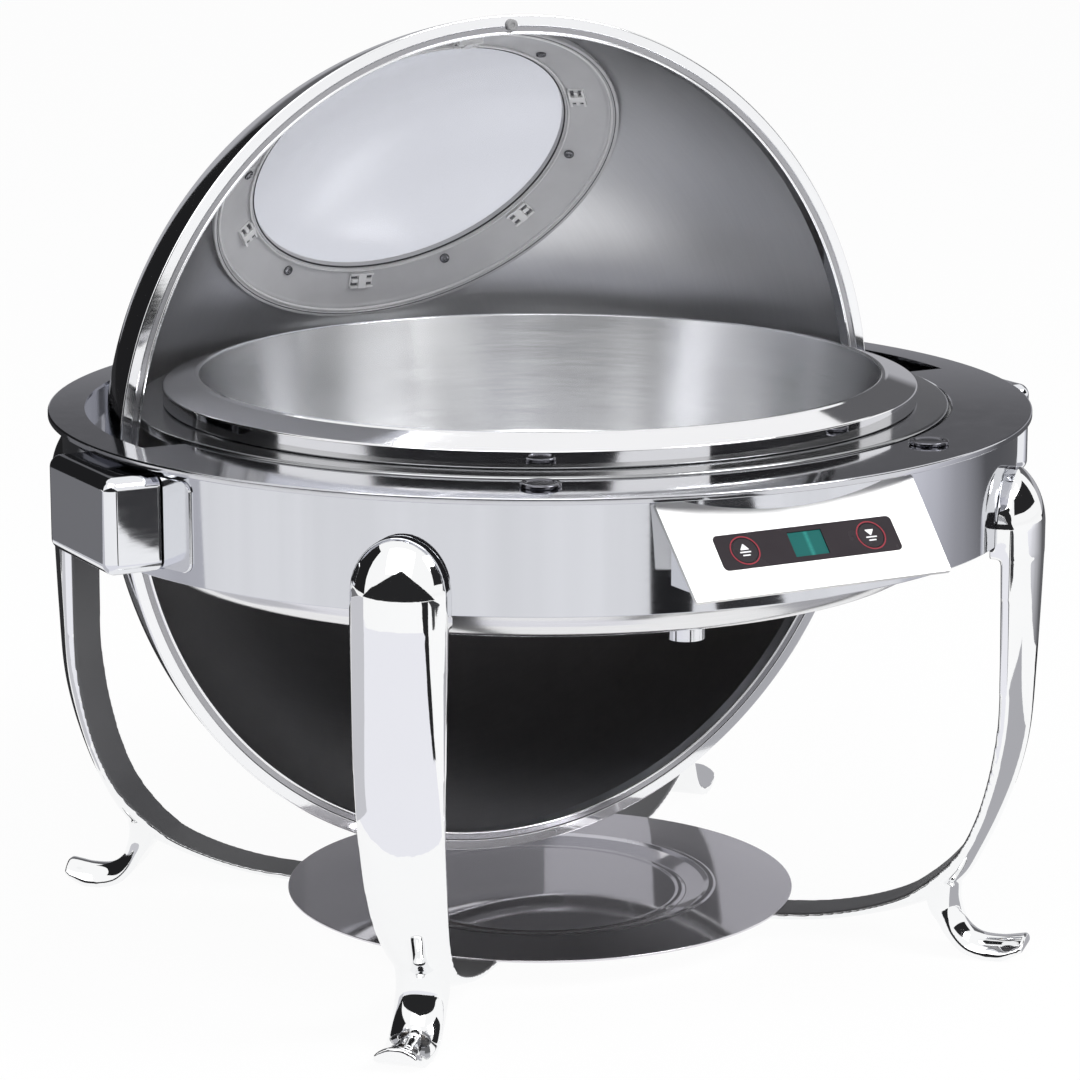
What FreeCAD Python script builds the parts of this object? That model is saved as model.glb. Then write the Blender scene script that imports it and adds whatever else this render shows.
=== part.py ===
"""Round roll-top chafing dish, in millimetres.

The floor is z = 0 and the ring's axis is x = y = 0. The front, with the control panel, faces -Y.
Azimuths are counted from the front towards +X. The lid is drawn as it stands in the photograph,
turned back by 90 degrees about the side-to-side axis through its two hinges.
"""

import FreeCAD, Part

import math
import operator
import os
from types import SimpleNamespace

import Sketcher
from FreeCAD import Matrix, Placement, Rotation, Vector

SIZES = {
    # Top plate and skirt
    "plate_overhang": 7,
    "pivot_depth": 27,
    "plate_sheet": 1.5,
    "plate_lip": 3.3,
    "plate_gap": 1.5,
    "plate_edge_round": 0.8,
    "slot_gap": 9.5,
    "slot_front": 25,
    "skirt_gap": 21,
    "skirt_sheet": 1.5,
    "skirt_drop": 30,
    # Carrier ledge for the water pan
    "carrier_drop": 1.7,
    "carrier_sheet": 1.5,
    "carrier_flange": 14.8,
    "carrier_back": 27,
    "pan_wall_gap": 1,
    # Water pan and its drain plug
    "pan_lid_gap": 19.5,
    "water_drop": 51,
    "water_sheet": 1.2,
    "water_corner": 10,
    "water_flange": 5.5,
    "drain_inset": 18.5,
    "drain_azimuth": -6.5,
    "drain_cap_radius": 9,
    "drain_cap_height": 6,
    "drain_stem_radius": 4,
    "drain_nut_radius": 7,
    "drain_nut_height": 2,
    # Ring that the food pan rests on
    "rest_reach": 22.5,
    "rest_sheet": 1.5,
    "rest_raise": 1.8,
    "rest_collar": 12.3,
    # Food pan
    "rim_rest": 12,
    "mouth_inset": 6.7,
    "floor_inset": 8.3,
    "food_depth": 64.6,
    "food_rim_drop": 11,
    "food_sheet": 1.2,
    "food_corner": 8,
    "food_rim_round": 2,
    "rest_gap": 0.3,
    # Pads under the closed lid
    "pad_radius": 9.75,
    "pad_height": 3,
    "pad_inset": 13.5,
    "pad_azimuth": 28.5,
    "pad_round": 1,
    "pad_stem_radius": 3,
    "pad_stem_length": 3,
    # Lid shell and rim
    "lid_floor_gap": 8.5,
    "lid_radius": 222,
    "lid_sheet": 1.2,
    "rim_offset": 30.5,
    "rim_width": 10.2,
    "rim_inset": 2.2,
    "rim_sheet": 1.2,
    "rim_depth": 8.5,
    "rim_round": 2.5,
    "bumper_radius": 3,
    "bumper_height": 2,
    "bumper_stem_radius": 1.5,
    # Window in the lid
    "window_tilt": 42.5,
    "window_hole": 94,
    "seal_width": 2.5,
    "glass_thickness": 3,
    "frame_inside": 6,
    "frame_outside": 21,
    "frame_lip": 2.6,
    "window_fixings": 6,
    "fixing_outside": 3,
    "window_screw_radius": 1.5,
    "window_screw_head": 2.75,
    "window_screw_head_height": 1.6,
    "clip_length": 12,
    "clip_width": 8,
    "clip_height": 3,
    "clip_sheet": 1.2,
    "round_seat_gap": 0.15,
    # Lid ears and their rivets
    "ear_gap": 0.8,
    "ear_sheet": 3,
    "ear_hub_radius": 14,
    "ear_reach": 50,
    "ear_height": 18,
    "ear_foot_start": 36,
    "ear_foot_depth": 14,
    "rivet_row": 44,
    "rivet_spacing": 10,
    "rivet_radius": 1.6,
    "rivet_head_radius": 3,
    "rivet_head_height": 1.5,
    # Left hinge
    "pin_radius": 5,
    "pin_head_radius": 8,
    "pin_head_height": 1.8,
    "pin_stub": 3,
    "bush_wall": 2,
    "bush_flange": 2.5,
    "bush_flange_height": 1.8,
    "bush_stand_in": 0.4,
    "running_gap": 0.05,
    "axial_gap": 0.4,
    "bracket_depth": 15.5,
    "bracket_width": 20,
    "bracket_height": 26,
    # Right drive
    "shaft_radius": 6,
    "shaft_overlap": 13,
    "shaft_flange_radius": 13.5,
    "shaft_flange_height": 3,
    "shaft_screw_circle": 9.8,
    "shaft_screw_radius": 2,
    "shaft_screw_head": 2.8,
    "shaft_screw_head_height": 2,
    "drive_bush_wall": 3,
    "drive_bush_flange": 2.5,
    "drive_bush_flange_height": 2,
    "gearbox_depth": 17.5,
    "gearbox_front": 16,
    "gearbox_back": 34,
    "gearbox_height": 30,
    "gearbox_round": 2,
    "motor_radius": 9,
    "motor_length": 50,
    "motor_cap_radius": 4,
    "motor_cap_length": 2,
    # Side housings and the curved plates behind them
    "housing_gap": 1,
    "housing_drop": 26,
    "housing_rise": 21,
    "housing_wall": 2,
    "housing_round": 6,
    "left_front": 62,
    "left_back": 13,
    "right_front": 60,
    "right_back": 90,
    "saddle_gap": 0.2,
    "saddle_sheet": 1.3,
    "saddle_low_inset": 2,
    "saddle_high_inset": 1,
    "saddle_front": 80.3,
    "saddle_behind": 15,
    "saddle_round": 5,
    "inlet_radius": 5,
    "inlet_flange_radius": 6.5,
    "inlet_flange_height": 1.5,
    "inlet_length": 15,
    "inlet_bore": 2.8,
    "inlet_bore_depth": 9,
    "inlet_inset": 11,
    "inlet_rise": 9.5,
    # Control panel
    "panel_tilt": 43.3,
    "panel_stand_out": 29.9,
    "panel_drop": 43,
    "panel_length": 53.2,
    "panel_top_half": 69.8,
    "panel_bottom_half": 68.6,
    "panel_sheet": 2,
    "box_half": 60,
    "box_wall": 2,
    "box_floor_gap": 0.5,
    "box_top_gap": 5,
    "display_width": 96,
    "display_height": 18.5,
    "display_bottom": 14.2,
    "display_round": 2.5,
    "display_proud": 0.2,
    "display_gap": 0.1,
    "screen_width": 18,
    "screen_height": 13,
    "screen_sunk": 0.3,
    "button_reach": 34,
    "button_radius": 6.4,
    "button_gap": 0.2,
    "button_stem_radius": 2,
    "button_travel": 0.8,
    "ring_bore": 7,
    "ring_radius": 7.6,
    "ring_height": 0.15,
    "board_depth": 6,
    "board_width": 92,
    "board_height": 16,
    "board_sheet": 1.6,
    "switch_side": 6,
    "switch_height": 1.4,
    # Legs
    "front_leg_azimuth": 43.65,
    "rear_leg_azimuth": 130.6,
    "leg_depth": 19,
    "leg_arch_rise": 8,
    "leg_arch_height": 28.5,
    "leg_width": 47,
    "leg_edge": 4.5,
    "bar_width": 26,
    "bar_thickness": 5.4,
    "bar_inner_end": 20,
    "bar_overhang": 8,
    "bar_overhang_rise": 0.7,
    "bar_ease": 12,
    "bar_rim_gap": 0.3,
    "bar_bend_outside": 5,
    "bar_bend_inside": 1,
    "bar_bend_rise": 0.1,
    "bar_seat_length": 10,
    "leg_bolt_radius": 3,
    "leg_bolt_head": 5,
    "leg_bolt_head_height": 4,
    "leg_bolt_length": 12,
    "leg_bolt_level": 10,
    "leg_bolt_rise": 13,
    # Fuel tray and hub
    "tray_radius": 132,
    "tray_edge_gap": 0.2,
    "tray_top": 15.5,
    "tray_sheet": 1.2,
    "well_radius": 90,
    "well_floor_radius": 75,
    "well_floor_top": 12,
    "tray_nut_radius": 8,
    "hub_radius": 45,
    "hub_sheet": 3,
    "hub_screw_circle": 33,
    "hub_screw_radius": 2.5,
    "hub_screw_head": 4.5,
    "hub_screw_head_height": 2,
    "hub_screw_bite": 3.6,
    "tray_screw_radius": 3,
    "tray_screw_head": 5.5,
    "screw_hole_gap": 0.2,
}

SIGNS = {"+": operator.add, "-": operator.sub, "*": operator.mul, "/": operator.truediv}


class Size:
    """A number of the sheet, or one worked out from it, with the expression that gives it."""

    def __init__(self, number, text):
        self.number = number
        self.text = text

    def __float__(self):
        return self.number

    def __add__(self, other):
        return combined(self, "+", other)

    def __radd__(self, other):
        return combined(other, "+", self)

    def __sub__(self, other):
        return combined(self, "-", other)

    def __rsub__(self, other):
        return combined(other, "-", self)

    def __mul__(self, other):
        return combined(self, "*", other)

    def __rmul__(self, other):
        return combined(other, "*", self)

    def __truediv__(self, other):
        return combined(self, "/", other)

    def __neg__(self):
        return combined(0, "-", self)


def as_size(value):
    return value if isinstance(value, Size) else Size(float(value), repr(float(value)))


def combined(left, sign, right):
    left, right = as_size(left), as_size(right)
    return Size(SIGNS[sign](left.number, right.number), f"({left.text} {sign} {right.text})")


def root(value):
    return Size(math.sqrt(value.number), f"sqrt({value.text})")


def sine(angle):
    return Size(math.sin(math.radians(angle.number)), f"sin({angle.text})")


def cosine(angle):
    return Size(math.cos(math.radians(angle.number)), f"cos({angle.text})")


def leg_of(hypotenuse, other):
    """The third side of a right triangle."""
    return root(hypotenuse * hypotenuse - other * other)


doc = FreeCAD.newDocument("round_chafing_dish")
sheet = doc.addObject("Spreadsheet::Sheet", "sizes")
for row, (alias, number) in enumerate(SIZES.items(), start=1):
    sheet.set(f"A{row}", alias)
    sheet.set(f"B{row}", str(number))
    sheet.setAlias(f"B{row}", alias)
doc.recompute()
s = SimpleNamespace(**{alias: Size(float(getattr(sheet, alias)), f"sizes.{alias}") for alias in SIZES})

# Sizes that follow from others by the named gaps, drops and insets
s.pivot_height = s.tray_top + s.lid_floor_gap + s.lid_radius
s.plate_height = s.pivot_height + s.pivot_depth
s.skirt_radius = s.lid_radius + s.skirt_gap
s.skirt_bottom = s.pivot_height - s.skirt_drop
s.slot_radius = s.lid_radius + s.slot_gap
s.plate_radius = s.skirt_radius + s.plate_overhang
s.water_radius = s.lid_radius - s.pan_lid_gap
s.water_bottom = s.pivot_height - s.water_drop
s.plate_bore = s.water_radius + s.water_flange + s.plate_gap
s.drain_reach = s.water_radius - s.drain_inset
s.rest_bore = s.water_radius - s.rest_reach
s.food_rim_radius = s.rest_bore + s.rim_rest
s.food_mouth_radius = s.rest_bore - s.mouth_inset
s.food_floor_radius = s.food_mouth_radius - s.floor_inset
s.pad_reach = s.plate_bore + s.pad_inset
s.rim_radius = s.lid_radius - s.rim_inset
s.rim_bore = s.rim_radius - s.rim_width
s.bumper_reach = (s.rim_bore + s.rim_radius) / 2
s.frame_bore = s.window_hole - s.frame_inside
s.frame_radius = s.window_hole + s.frame_outside
s.fixing_reach = s.window_hole + s.fixing_outside
s.ear_face = s.lid_radius + s.ear_gap
s.pin_inner_end = s.ear_face - s.pin_stub
s.housing_bottom = s.pivot_height - s.housing_drop
s.housing_top = s.pivot_height + s.housing_rise
s.inlet_height = s.housing_bottom + s.inlet_rise
s.saddle_bottom = s.housing_bottom + s.saddle_low_inset
s.saddle_top = s.housing_top - s.saddle_high_inset
s.panel_reach = s.skirt_radius + s.panel_stand_out
s.panel_bottom = s.plate_height - s.panel_drop
s.box_floor = s.panel_bottom - s.box_floor_gap
s.box_top = s.plate_height - s.box_top_gap
s.leg_front_radius = s.skirt_radius + s.leg_depth
s.leg_arch_start = s.skirt_bottom + s.leg_arch_rise
s.leg_bolt_low = s.skirt_bottom + s.leg_bolt_level

# Places that more than one piece takes its size from
plate_under = s.plate_height - s.plate_sheet
skirt_inner = s.skirt_radius - s.skirt_sheet
saddle_inner = s.skirt_radius + s.saddle_gap
saddle_radius = saddle_inner + s.saddle_sheet
s.bracket_outer = saddle_radius + s.bracket_depth
s.shaft_outer_end = saddle_radius + s.shaft_overlap
s.gearbox_outer = saddle_radius + s.gearbox_depth
s.motor_reach = s.gearbox_outer - s.motor_radius
s.housing_outer = s.gearbox_outer + s.housing_gap + s.housing_wall
s.inlet_reach = s.housing_outer - s.inlet_inset
carrier_top = plate_under - s.carrier_drop
carrier_bore = s.water_radius + s.pan_wall_gap
water_flange_radius = s.water_radius + s.water_flange
water_flange_top = carrier_top + s.water_sheet
rest_under = water_flange_top + s.rest_raise
rest_top = rest_under + s.rest_sheet
food_rim_bottom = rest_top + s.rest_gap
food_rim_top = food_rim_bottom + s.food_rim_drop
lid_inner = s.lid_radius - s.lid_sheet
dome_start = s.rim_offset + s.rim_sheet
glass_inner = s.lid_radius - s.glass_thickness
glass_radius = s.window_hole - s.seal_width
frame_inner = glass_inner - s.frame_lip
ear_outer = s.ear_face + s.ear_sheet
bush_end = ear_outer + s.bush_flange_height
shaft_bore = s.shaft_radius + s.running_gap
panel_k = cosine(s.panel_tilt) * s.panel_reach + sine(s.panel_tilt) * s.panel_bottom
display_middle = s.display_bottom + s.display_height / 2
display_back = s.panel_sheet
bar_top = s.well_floor_top - s.tray_sheet
bar_bottom = bar_top - s.bar_thickness
hub_bottom = bar_bottom - s.hub_sheet

LEG_AZIMUTHS = {
    "leg_front_right": s.front_leg_azimuth,
    "leg_front_left": -s.front_leg_azimuth,
    "leg_rear_right": s.rear_leg_azimuth,
    "leg_rear_left": -s.rear_leg_azimuth,
}
FULL_TURN = 360
BEYOND = 40
ALONG_X = Rotation(Vector(0, 0, 1), Vector(1, 0, 0))
ALONG_Y = Rotation(Vector(1, 0, 0), -90)
OUT_FRONT = Rotation(Vector(1, 0, 0), 90)

nodes = []


def bind(obj, path, size):
    obj.setExpression(path, as_size(size).text)


def place(obj, x=0, y=0, z=0, turn=Rotation()):
    """Puts an object at a place whose three lengths stay bound to the sheet."""
    base = [as_size(x), as_size(y), as_size(z)]
    obj.Placement = Placement(Vector(*[float(length) for length in base]), turn)
    for letter, length in zip("xyz", base):
        bind(obj, f"Placement.Base.{letter}", length)
    return obj


def facing(azimuth):
    """Turns what was drawn along +Z so that it points outwards at an azimuth."""
    return Rotation(Vector(0, 0, 1), float(azimuth)) * OUT_FRONT


def bow(start, end, radius):
    """Arc from start to end with its centre on the left, or on the right if radius is negative."""
    chord = end - start
    half = chord.Length / 2
    rise = abs(radius) - math.sqrt(radius * radius - half * half)
    left = Vector(-chord.y, chord.x, 0).normalize()
    middle = (start + end) / 2
    if radius > 0:
        return Part.Arc(start, middle - left * rise, end)
    return Part.Arc(end, middle + left * rise, start)


def draw(sketch, outline):
    """Adds one closed outline. A corner is (x, y), or (x, y, radius) where an arc arrives at it."""
    corners = [Vector(float(corner[0]), float(corner[1]), 0) for corner in outline]
    edges = []
    for number, start in enumerate(corners):
        after = (number + 1) % len(corners)
        end = corners[after]
        if len(outline[after]) == 3:
            edge = sketch.addGeometry(bow(start, end, float(outline[after][2])), False)
            size = as_size(outline[after][2])
            size = size if size.number > 0 else -size
            held = sketch.addConstraint(Sketcher.Constraint("Radius", edge, size.number))
            bind(sketch, f"Constraints[{held}]", size)
        else:
            edge = sketch.addGeometry(Part.LineSegment(start, end), False)
        ahead = (sketch.Geometry[edge].StartPoint - start).Length < 1e-6
        edges.append((edge, 1 if ahead else 2, 2 if ahead else 1))
    for number, (edge, first, _) in enumerate(edges):
        before, _, last = edges[number - 1]
        sketch.addConstraint(Sketcher.Constraint("Coincident", before, last, edge, first))
        for kind, axis, value in zip(("DistanceX", "DistanceY"), (-2, -1), outline[number][:2]):
            value = as_size(value)
            if value.text == "0.0":
                sketch.addConstraint(Sketcher.Constraint("PointOnObject", edge, first, axis))
            else:
                held = sketch.addConstraint(
                    Sketcher.Constraint(kind, -1, 1, edge, first, value.number))
                bind(sketch, f"Constraints[{held}]", value)


def draw_circle(sketch, x, y, radius):
    x, y, radius = as_size(x), as_size(y), as_size(radius)
    centre = Vector(x.number, y.number, 0)
    edge = sketch.addGeometry(Part.Circle(centre, Vector(0, 0, 1), radius.number), False)
    rules = [
        (Sketcher.Constraint("DistanceX", -1, 1, edge, 3, x.number), x),
        (Sketcher.Constraint("DistanceY", -1, 1, edge, 3, y.number), y),
        (Sketcher.Constraint("Radius", edge, radius.number), radius),
    ]
    for rule, size in rules:
        held = sketch.addConstraint(rule)
        bind(sketch, f"Constraints[{held}]", size)


def sketched(name, plane, outlines, circles=()):
    body = doc.addObject("PartDesign::Body", name)
    sketch = body.newObject("Sketcher::SketchObject", name + "_profile")
    support = [feature for feature in body.Origin.OriginFeatures if feature.Role == plane]
    sketch.AttachmentSupport = (support[0], [""])
    sketch.MapMode = "FlatFace"
    for outline in outlines:
        draw(sketch, outline)
    for circle in circles:
        draw_circle(sketch, *circle)
    return body, sketch


def revolved(name, outline):
    """A solid turned about Z from an outline of (radius, height) corners."""
    body, sketch = sketched(name, "XZ_Plane", [outline])
    turn = body.newObject("PartDesign::Revolution", name + "_turn")
    turn.Profile = sketch
    turn.ReferenceAxis = (sketch, ["V_Axis"])
    turn.Angle = FULL_TURN
    return body


def padded(name, plane, outlines, length, start=None, circles=()):
    """A prism, centred on its sketch plane, or from start towards +Y for a sketch on XZ."""
    body, sketch = sketched(name, plane, outlines, circles)
    pad = body.newObject("PartDesign::Pad", name + "_pad")
    pad.Profile = sketch
    bind(pad, "Length", length)
    if start is None:
        pad.SideType = "Symmetric"
    else:
        pad.Reversed = True
        bind(sketch, "AttachmentOffset.Base.z", -as_size(start))
    return body


def rounded_box(name, low, high, radius):
    """A box between two corners, with every edge rounded."""
    body = doc.addObject("PartDesign::Body", name)
    block = body.newObject("PartDesign::AdditiveBox", name + "_block")
    for side, start, end in zip(("Length", "Width", "Height"), low, high):
        bind(block, side, as_size(end) - start)
    doc.recompute()
    fillet = body.newObject("PartDesign::Fillet", name + "_edges")
    fillet.Base = (block, [f"Edge{number}" for number in range(1, 13)])
    bind(fillet, "Radius", radius)
    return place(body, *low)


def plain_box(name, low, high):
    block = doc.addObject("Part::Box", name)
    for side, start, end in zip(("Length", "Width", "Height"), low, high):
        bind(block, side, as_size(end) - start)
    return place(block, *low)


def rod(name, radius, length, x=0, y=0, z=0, turn=Rotation()):
    cylinder = doc.addObject("Part::Cylinder", name)
    bind(cylinder, "Radius", radius)
    bind(cylinder, "Height", length)
    return place(cylinder, x, y, z, turn)


def cross_rod(name, radius, start, end, y=0, z=s.pivot_height):
    """A cylinder along X, from start to the larger end."""
    return rod(name, radius, as_size(end) - start, start, y, z, ALONG_X)


def ball(name, radius):
    sphere = doc.addObject("Part::Sphere", name)
    bind(sphere, "Radius", radius)
    return place(sphere, z=s.pivot_height)


def joined(name, pieces):
    fusion = doc.addObject("Part::MultiFuse", name)
    fusion.Shapes = pieces
    return fusion


def shared(name, pieces):
    common = doc.addObject("Part::MultiCommon", name)
    common.Shapes = pieces
    return common


def grouped(name, pieces):
    """Separate solids in one node."""
    group = doc.addObject("Part::Compound", name)
    group.Links = pieces
    return group


def cut(name, base, tools):
    result = doc.addObject("Part::Cut", name)
    result.Base = base
    result.Tool = tools[0] if len(tools) == 1 else joined(name + "_tools", tools)
    return result


def node(obj, label):
    """Names a finished sub-part."""
    obj.Label = label
    nodes.append(obj)
    return obj


def at_azimuth(reach, azimuth):
    return reach * sine(as_size(azimuth)), -(reach * cosine(as_size(azimuth)))


def round_rectangle(x_low, x_high, y_low, y_high, radius):
    return [
        (x_low + radius, y_low, radius), (x_high - radius, y_low),
        (x_high, y_low + radius, radius), (x_high, y_high - radius),
        (x_high - radius, y_high, radius), (x_low + radius, y_high),
        (x_low, y_high - radius, radius), (x_low, y_low + radius),
    ]


def ring_outline(inner, outer, bottom, top):
    return [(inner, bottom), (outer, bottom), (outer, top), (inner, top)]


def bolt_places():
    """Each leg bolt's name, azimuth and height."""
    for leg, azimuth in LEG_AZIMUTHS.items():
        for level, height in (("low", s.leg_bolt_low), ("high", s.leg_bolt_low + s.leg_bolt_rise)):
            yield f"{leg}_{level}", azimuth, height


def make_skirt():
    shell = revolved("skirt_shell", ring_outline(skirt_inner, s.skirt_radius, s.skirt_bottom, plate_under))
    holes = [
        cross_rod("skirt_pin_hole", s.pin_radius, -saddle_radius, -skirt_inner + BEYOND),
        cross_rod("skirt_bush_hole", shaft_bore + s.drive_bush_wall, skirt_inner - BEYOND, saddle_radius),
        rod("skirt_wire_hole", s.button_radius, BEYOND, 0, -(skirt_inner - 2 * s.skirt_sheet),
            s.pivot_height, OUT_FRONT),
    ]
    for name, azimuth, height in bolt_places():
        holes.append(rod("skirt_hole_" + name, s.leg_bolt_radius + s.screw_hole_gap,
                         s.skirt_radius, z=height, turn=facing(azimuth)))
    node(cut("skirt", shell, holes), "skirt")


def make_top_plate():
    inner_lip = s.plate_radius - s.plate_sheet
    lip_bottom = s.plate_height - s.plate_lip
    edge = s.plate_edge_round
    disc = revolved("plate_disc", [
        (s.plate_bore, plate_under), (inner_lip, plate_under), (inner_lip, lip_bottom),
        (s.plate_radius, lip_bottom), (s.plate_radius, s.plate_height - edge),
        (s.plate_radius - edge, s.plate_height, edge), (s.plate_bore, s.plate_height)])
    slot = shared("lid_slot", [
        rod("slot_round", s.slot_radius, 2 * BEYOND, z=s.plate_height - BEYOND),
        plain_box("slot_side", (-s.plate_radius, -s.slot_front, s.plate_height - BEYOND),
                  (s.plate_radius, s.plate_radius, s.plate_height + BEYOND))])
    tools = [slot]
    for side, azimuth in (("right", s.pad_azimuth), ("left", -s.pad_azimuth)):
        x, y = at_azimuth(s.pad_reach, azimuth)
        tools.append(rod("plate_pad_hole_" + side, s.pad_stem_radius, 2 * BEYOND, x, y,
                         s.plate_height - BEYOND))
    node(cut("top_plate", disc, tools), "top_plate")


def make_pan_carrier():
    under = carrier_top - s.carrier_sheet
    flange_inner = skirt_inner - s.carrier_sheet
    flange_bottom = carrier_top - s.carrier_flange
    ledge = revolved("carrier_ring", [
        (carrier_bore, under), (flange_inner, under), (flange_inner, flange_bottom),
        (skirt_inner, flange_bottom), (skirt_inner, carrier_top), (carrier_bore, carrier_top)])
    back = plain_box("carrier_back_half", (-s.skirt_radius, -s.carrier_back, flange_bottom - BEYOND),
                     (s.skirt_radius, s.skirt_radius, carrier_top + BEYOND))
    node(cut("pan_carrier", ledge, [back]), "pan_carrier")


def make_water_pan():
    corner = s.water_corner
    inner_corner = corner - s.water_sheet
    flat = s.water_radius - corner
    inner = s.water_radius - s.water_sheet
    floor = s.water_bottom + s.water_sheet
    pan = revolved("water_pan_turned", [
        (0, s.water_bottom), (flat, s.water_bottom),
        (s.water_radius, s.water_bottom + corner, corner), (s.water_radius, carrier_top),
        (water_flange_radius, carrier_top), (water_flange_radius, water_flange_top),
        (inner, water_flange_top), (inner, s.water_bottom + corner),
        (flat, floor, -inner_corner), (0, floor)])
    x, y = at_azimuth(s.drain_reach, s.drain_azimuth)
    hole = rod("water_drain_hole", s.drain_stem_radius, BEYOND, x, y, s.water_bottom - BEYOND / 2)
    node(cut("water_pan", pan, [hole]), "water_pan")

    cap_bottom = s.water_bottom - s.drain_cap_height
    nut_top = floor + s.drain_nut_height
    plug = revolved("drain_plug", [
        (0, cap_bottom), (s.drain_cap_radius, cap_bottom), (s.drain_cap_radius, s.water_bottom),
        (s.drain_stem_radius, s.water_bottom), (s.drain_stem_radius, floor),
        (s.drain_nut_radius, floor), (s.drain_nut_radius, nut_top), (0, nut_top)])
    node(place(plug, x, y), "drain_plug")


def make_rest_ring():
    turned_down = water_flange_radius - s.rest_sheet
    collar_outer = s.rest_bore + s.rest_sheet
    collar_bottom = rest_top - s.rest_collar
    node(revolved("pan_rest_ring", [
        (s.rest_bore, collar_bottom), (collar_outer, collar_bottom), (collar_outer, rest_under),
        (turned_down, rest_under), (turned_down, water_flange_top),
        (water_flange_radius, water_flange_top), (water_flange_radius, rest_top),
        (s.rest_bore, rest_top)]), "pan_rest_ring")


def make_food_pan():
    sheet_t = s.food_sheet
    bottom = food_rim_top - s.food_depth
    corner = s.food_corner
    foot = s.food_floor_radius + sheet_t - corner
    rim = s.food_rim_round
    rim_inner = s.food_rim_radius - sheet_t
    mouth_round = rim + sheet_t / 4
    node(revolved("food_pan", [
        (0, bottom), (foot, bottom),
        (s.food_floor_radius + sheet_t, bottom + corner, corner),
        (s.food_mouth_radius + sheet_t, food_rim_top - sheet_t), (rim_inner, food_rim_top - sheet_t),
        (rim_inner, food_rim_bottom), (s.food_rim_radius, food_rim_bottom),
        (s.food_rim_radius, food_rim_top - rim), (s.food_rim_radius - rim, food_rim_top, rim),
        (s.food_mouth_radius + mouth_round, food_rim_top),
        (s.food_mouth_radius, food_rim_top - mouth_round, mouth_round),
        (s.food_floor_radius, bottom + corner),
        (foot, bottom + sheet_t, -(corner - sheet_t)), (0, bottom + sheet_t)]), "food_pan")


def make_lid_rest_pads():
    pads = []
    top = s.plate_height + s.pad_height
    stem_end = s.plate_height - s.pad_stem_length
    for side, azimuth in (("right", s.pad_azimuth), ("left", -s.pad_azimuth)):
        pad = revolved("rest_pad_" + side, [
            (0, stem_end), (s.pad_stem_radius, stem_end), (s.pad_stem_radius, s.plate_height),
            (s.pad_radius, s.plate_height), (s.pad_radius, top - s.pad_round),
            (s.pad_radius - s.pad_round, top, s.pad_round), (0, top)])
        x, y = at_azimuth(s.pad_reach, azimuth)
        pads.append(place(pad, x, y))
    node(grouped("lid_rest_pads", pads), "lid_rest_pads")


def window_turn(angle=0, lean=0):
    """Rotation to a direction that leans away from the window's axis, at an angle about it."""
    tilt = Rotation(Vector(1, 0, 0), float(s.window_tilt) - 90)
    return tilt * Rotation(Vector(0, 0, 1), angle) * Rotation(Vector(0, 1, 0), lean)


def fixing_places(first):
    """Rotation of each window fixing, evenly round the window from a first angle."""
    lean = math.degrees(math.asin(float(s.fixing_reach) / float(glass_inner)))
    count = int(float(s.window_fixings))
    for number in range(count):
        yield number + 1, window_turn(first + number * FULL_TURN / count, lean)


def rivet_places():
    for side, sign in (("right", 1), ("left", -1)):
        for level, up in (("low", -1), ("high", 1)):
            yield f"{side}_{level}", sign, s.pivot_height + up * s.rivet_spacing / 2


def make_lid():
    shell = revolved("lid_shell", [
        (leg_of(s.lid_radius, dome_start), dome_start), (0, s.lid_radius, s.lid_radius),
        (0, lid_inner), (leg_of(lid_inner, dome_start), dome_start, -lid_inner)])
    place(shell, z=s.pivot_height, turn=ALONG_Y)
    tools = [rod("lid_window_hole", s.window_hole, s.lid_radius + BEYOND, z=s.pivot_height,
                 turn=window_turn())]
    for number, turn in fixing_places(0):
        tools.append(rod(f"lid_screw_hole_{number}", s.window_screw_radius, s.lid_radius + BEYOND,
                         z=s.pivot_height, turn=turn))
    for name, sign, height in rivet_places():
        start = s.rim_bore - BEYOND if sign > 0 else -(ear_outer + BEYOND)
        tools.append(cross_rod("lid_rivet_hole_" + name, s.rivet_radius, start,
                               start + 2 * BEYOND + (ear_outer - s.rim_bore), s.rivet_row, height))
    node(cut("lid_dome", shell, tools), "lid_dome")

    outer_round = s.rim_round
    inner_round = s.rim_round - s.rim_sheet
    channel = s.rim_bore + s.rim_sheet
    back = s.rim_offset + s.rim_depth
    back_edge = leg_of(lid_inner, back) - s.axial_gap
    trim = revolved("lid_rim_channel", [
        (s.rim_bore + outer_round, s.rim_offset, outer_round), (s.rim_radius, s.rim_offset),
        (s.rim_radius, dome_start), (channel + inner_round, dome_start),
        (channel, dome_start + inner_round, -inner_round), (channel, back - s.rim_sheet),
        (back_edge, back - s.rim_sheet), (back_edge, back), (s.rim_bore, back),
        (s.rim_bore, s.rim_offset + outer_round)])
    place(trim, z=s.pivot_height, turn=ALONG_Y)
    bumper_height = s.pivot_height + s.bumper_reach
    hole = rod("rim_bumper_hole", s.bumper_stem_radius, s.rim_sheet, 0, s.rim_offset,
               bumper_height, ALONG_Y)
    node(cut("lid_rim_trim", trim, [hole]), "lid_rim_trim")
    head = s.rim_offset - s.bumper_height
    bumper = revolved("lid_bumper", [
        (0, head), (s.bumper_radius, head), (s.bumper_radius, s.rim_offset),
        (s.bumper_stem_radius, s.rim_offset), (s.bumper_stem_radius, dome_start), (0, dome_start)])
    node(place(bumper, z=bumper_height, turn=ALONG_Y), "lid_bumper")


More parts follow.
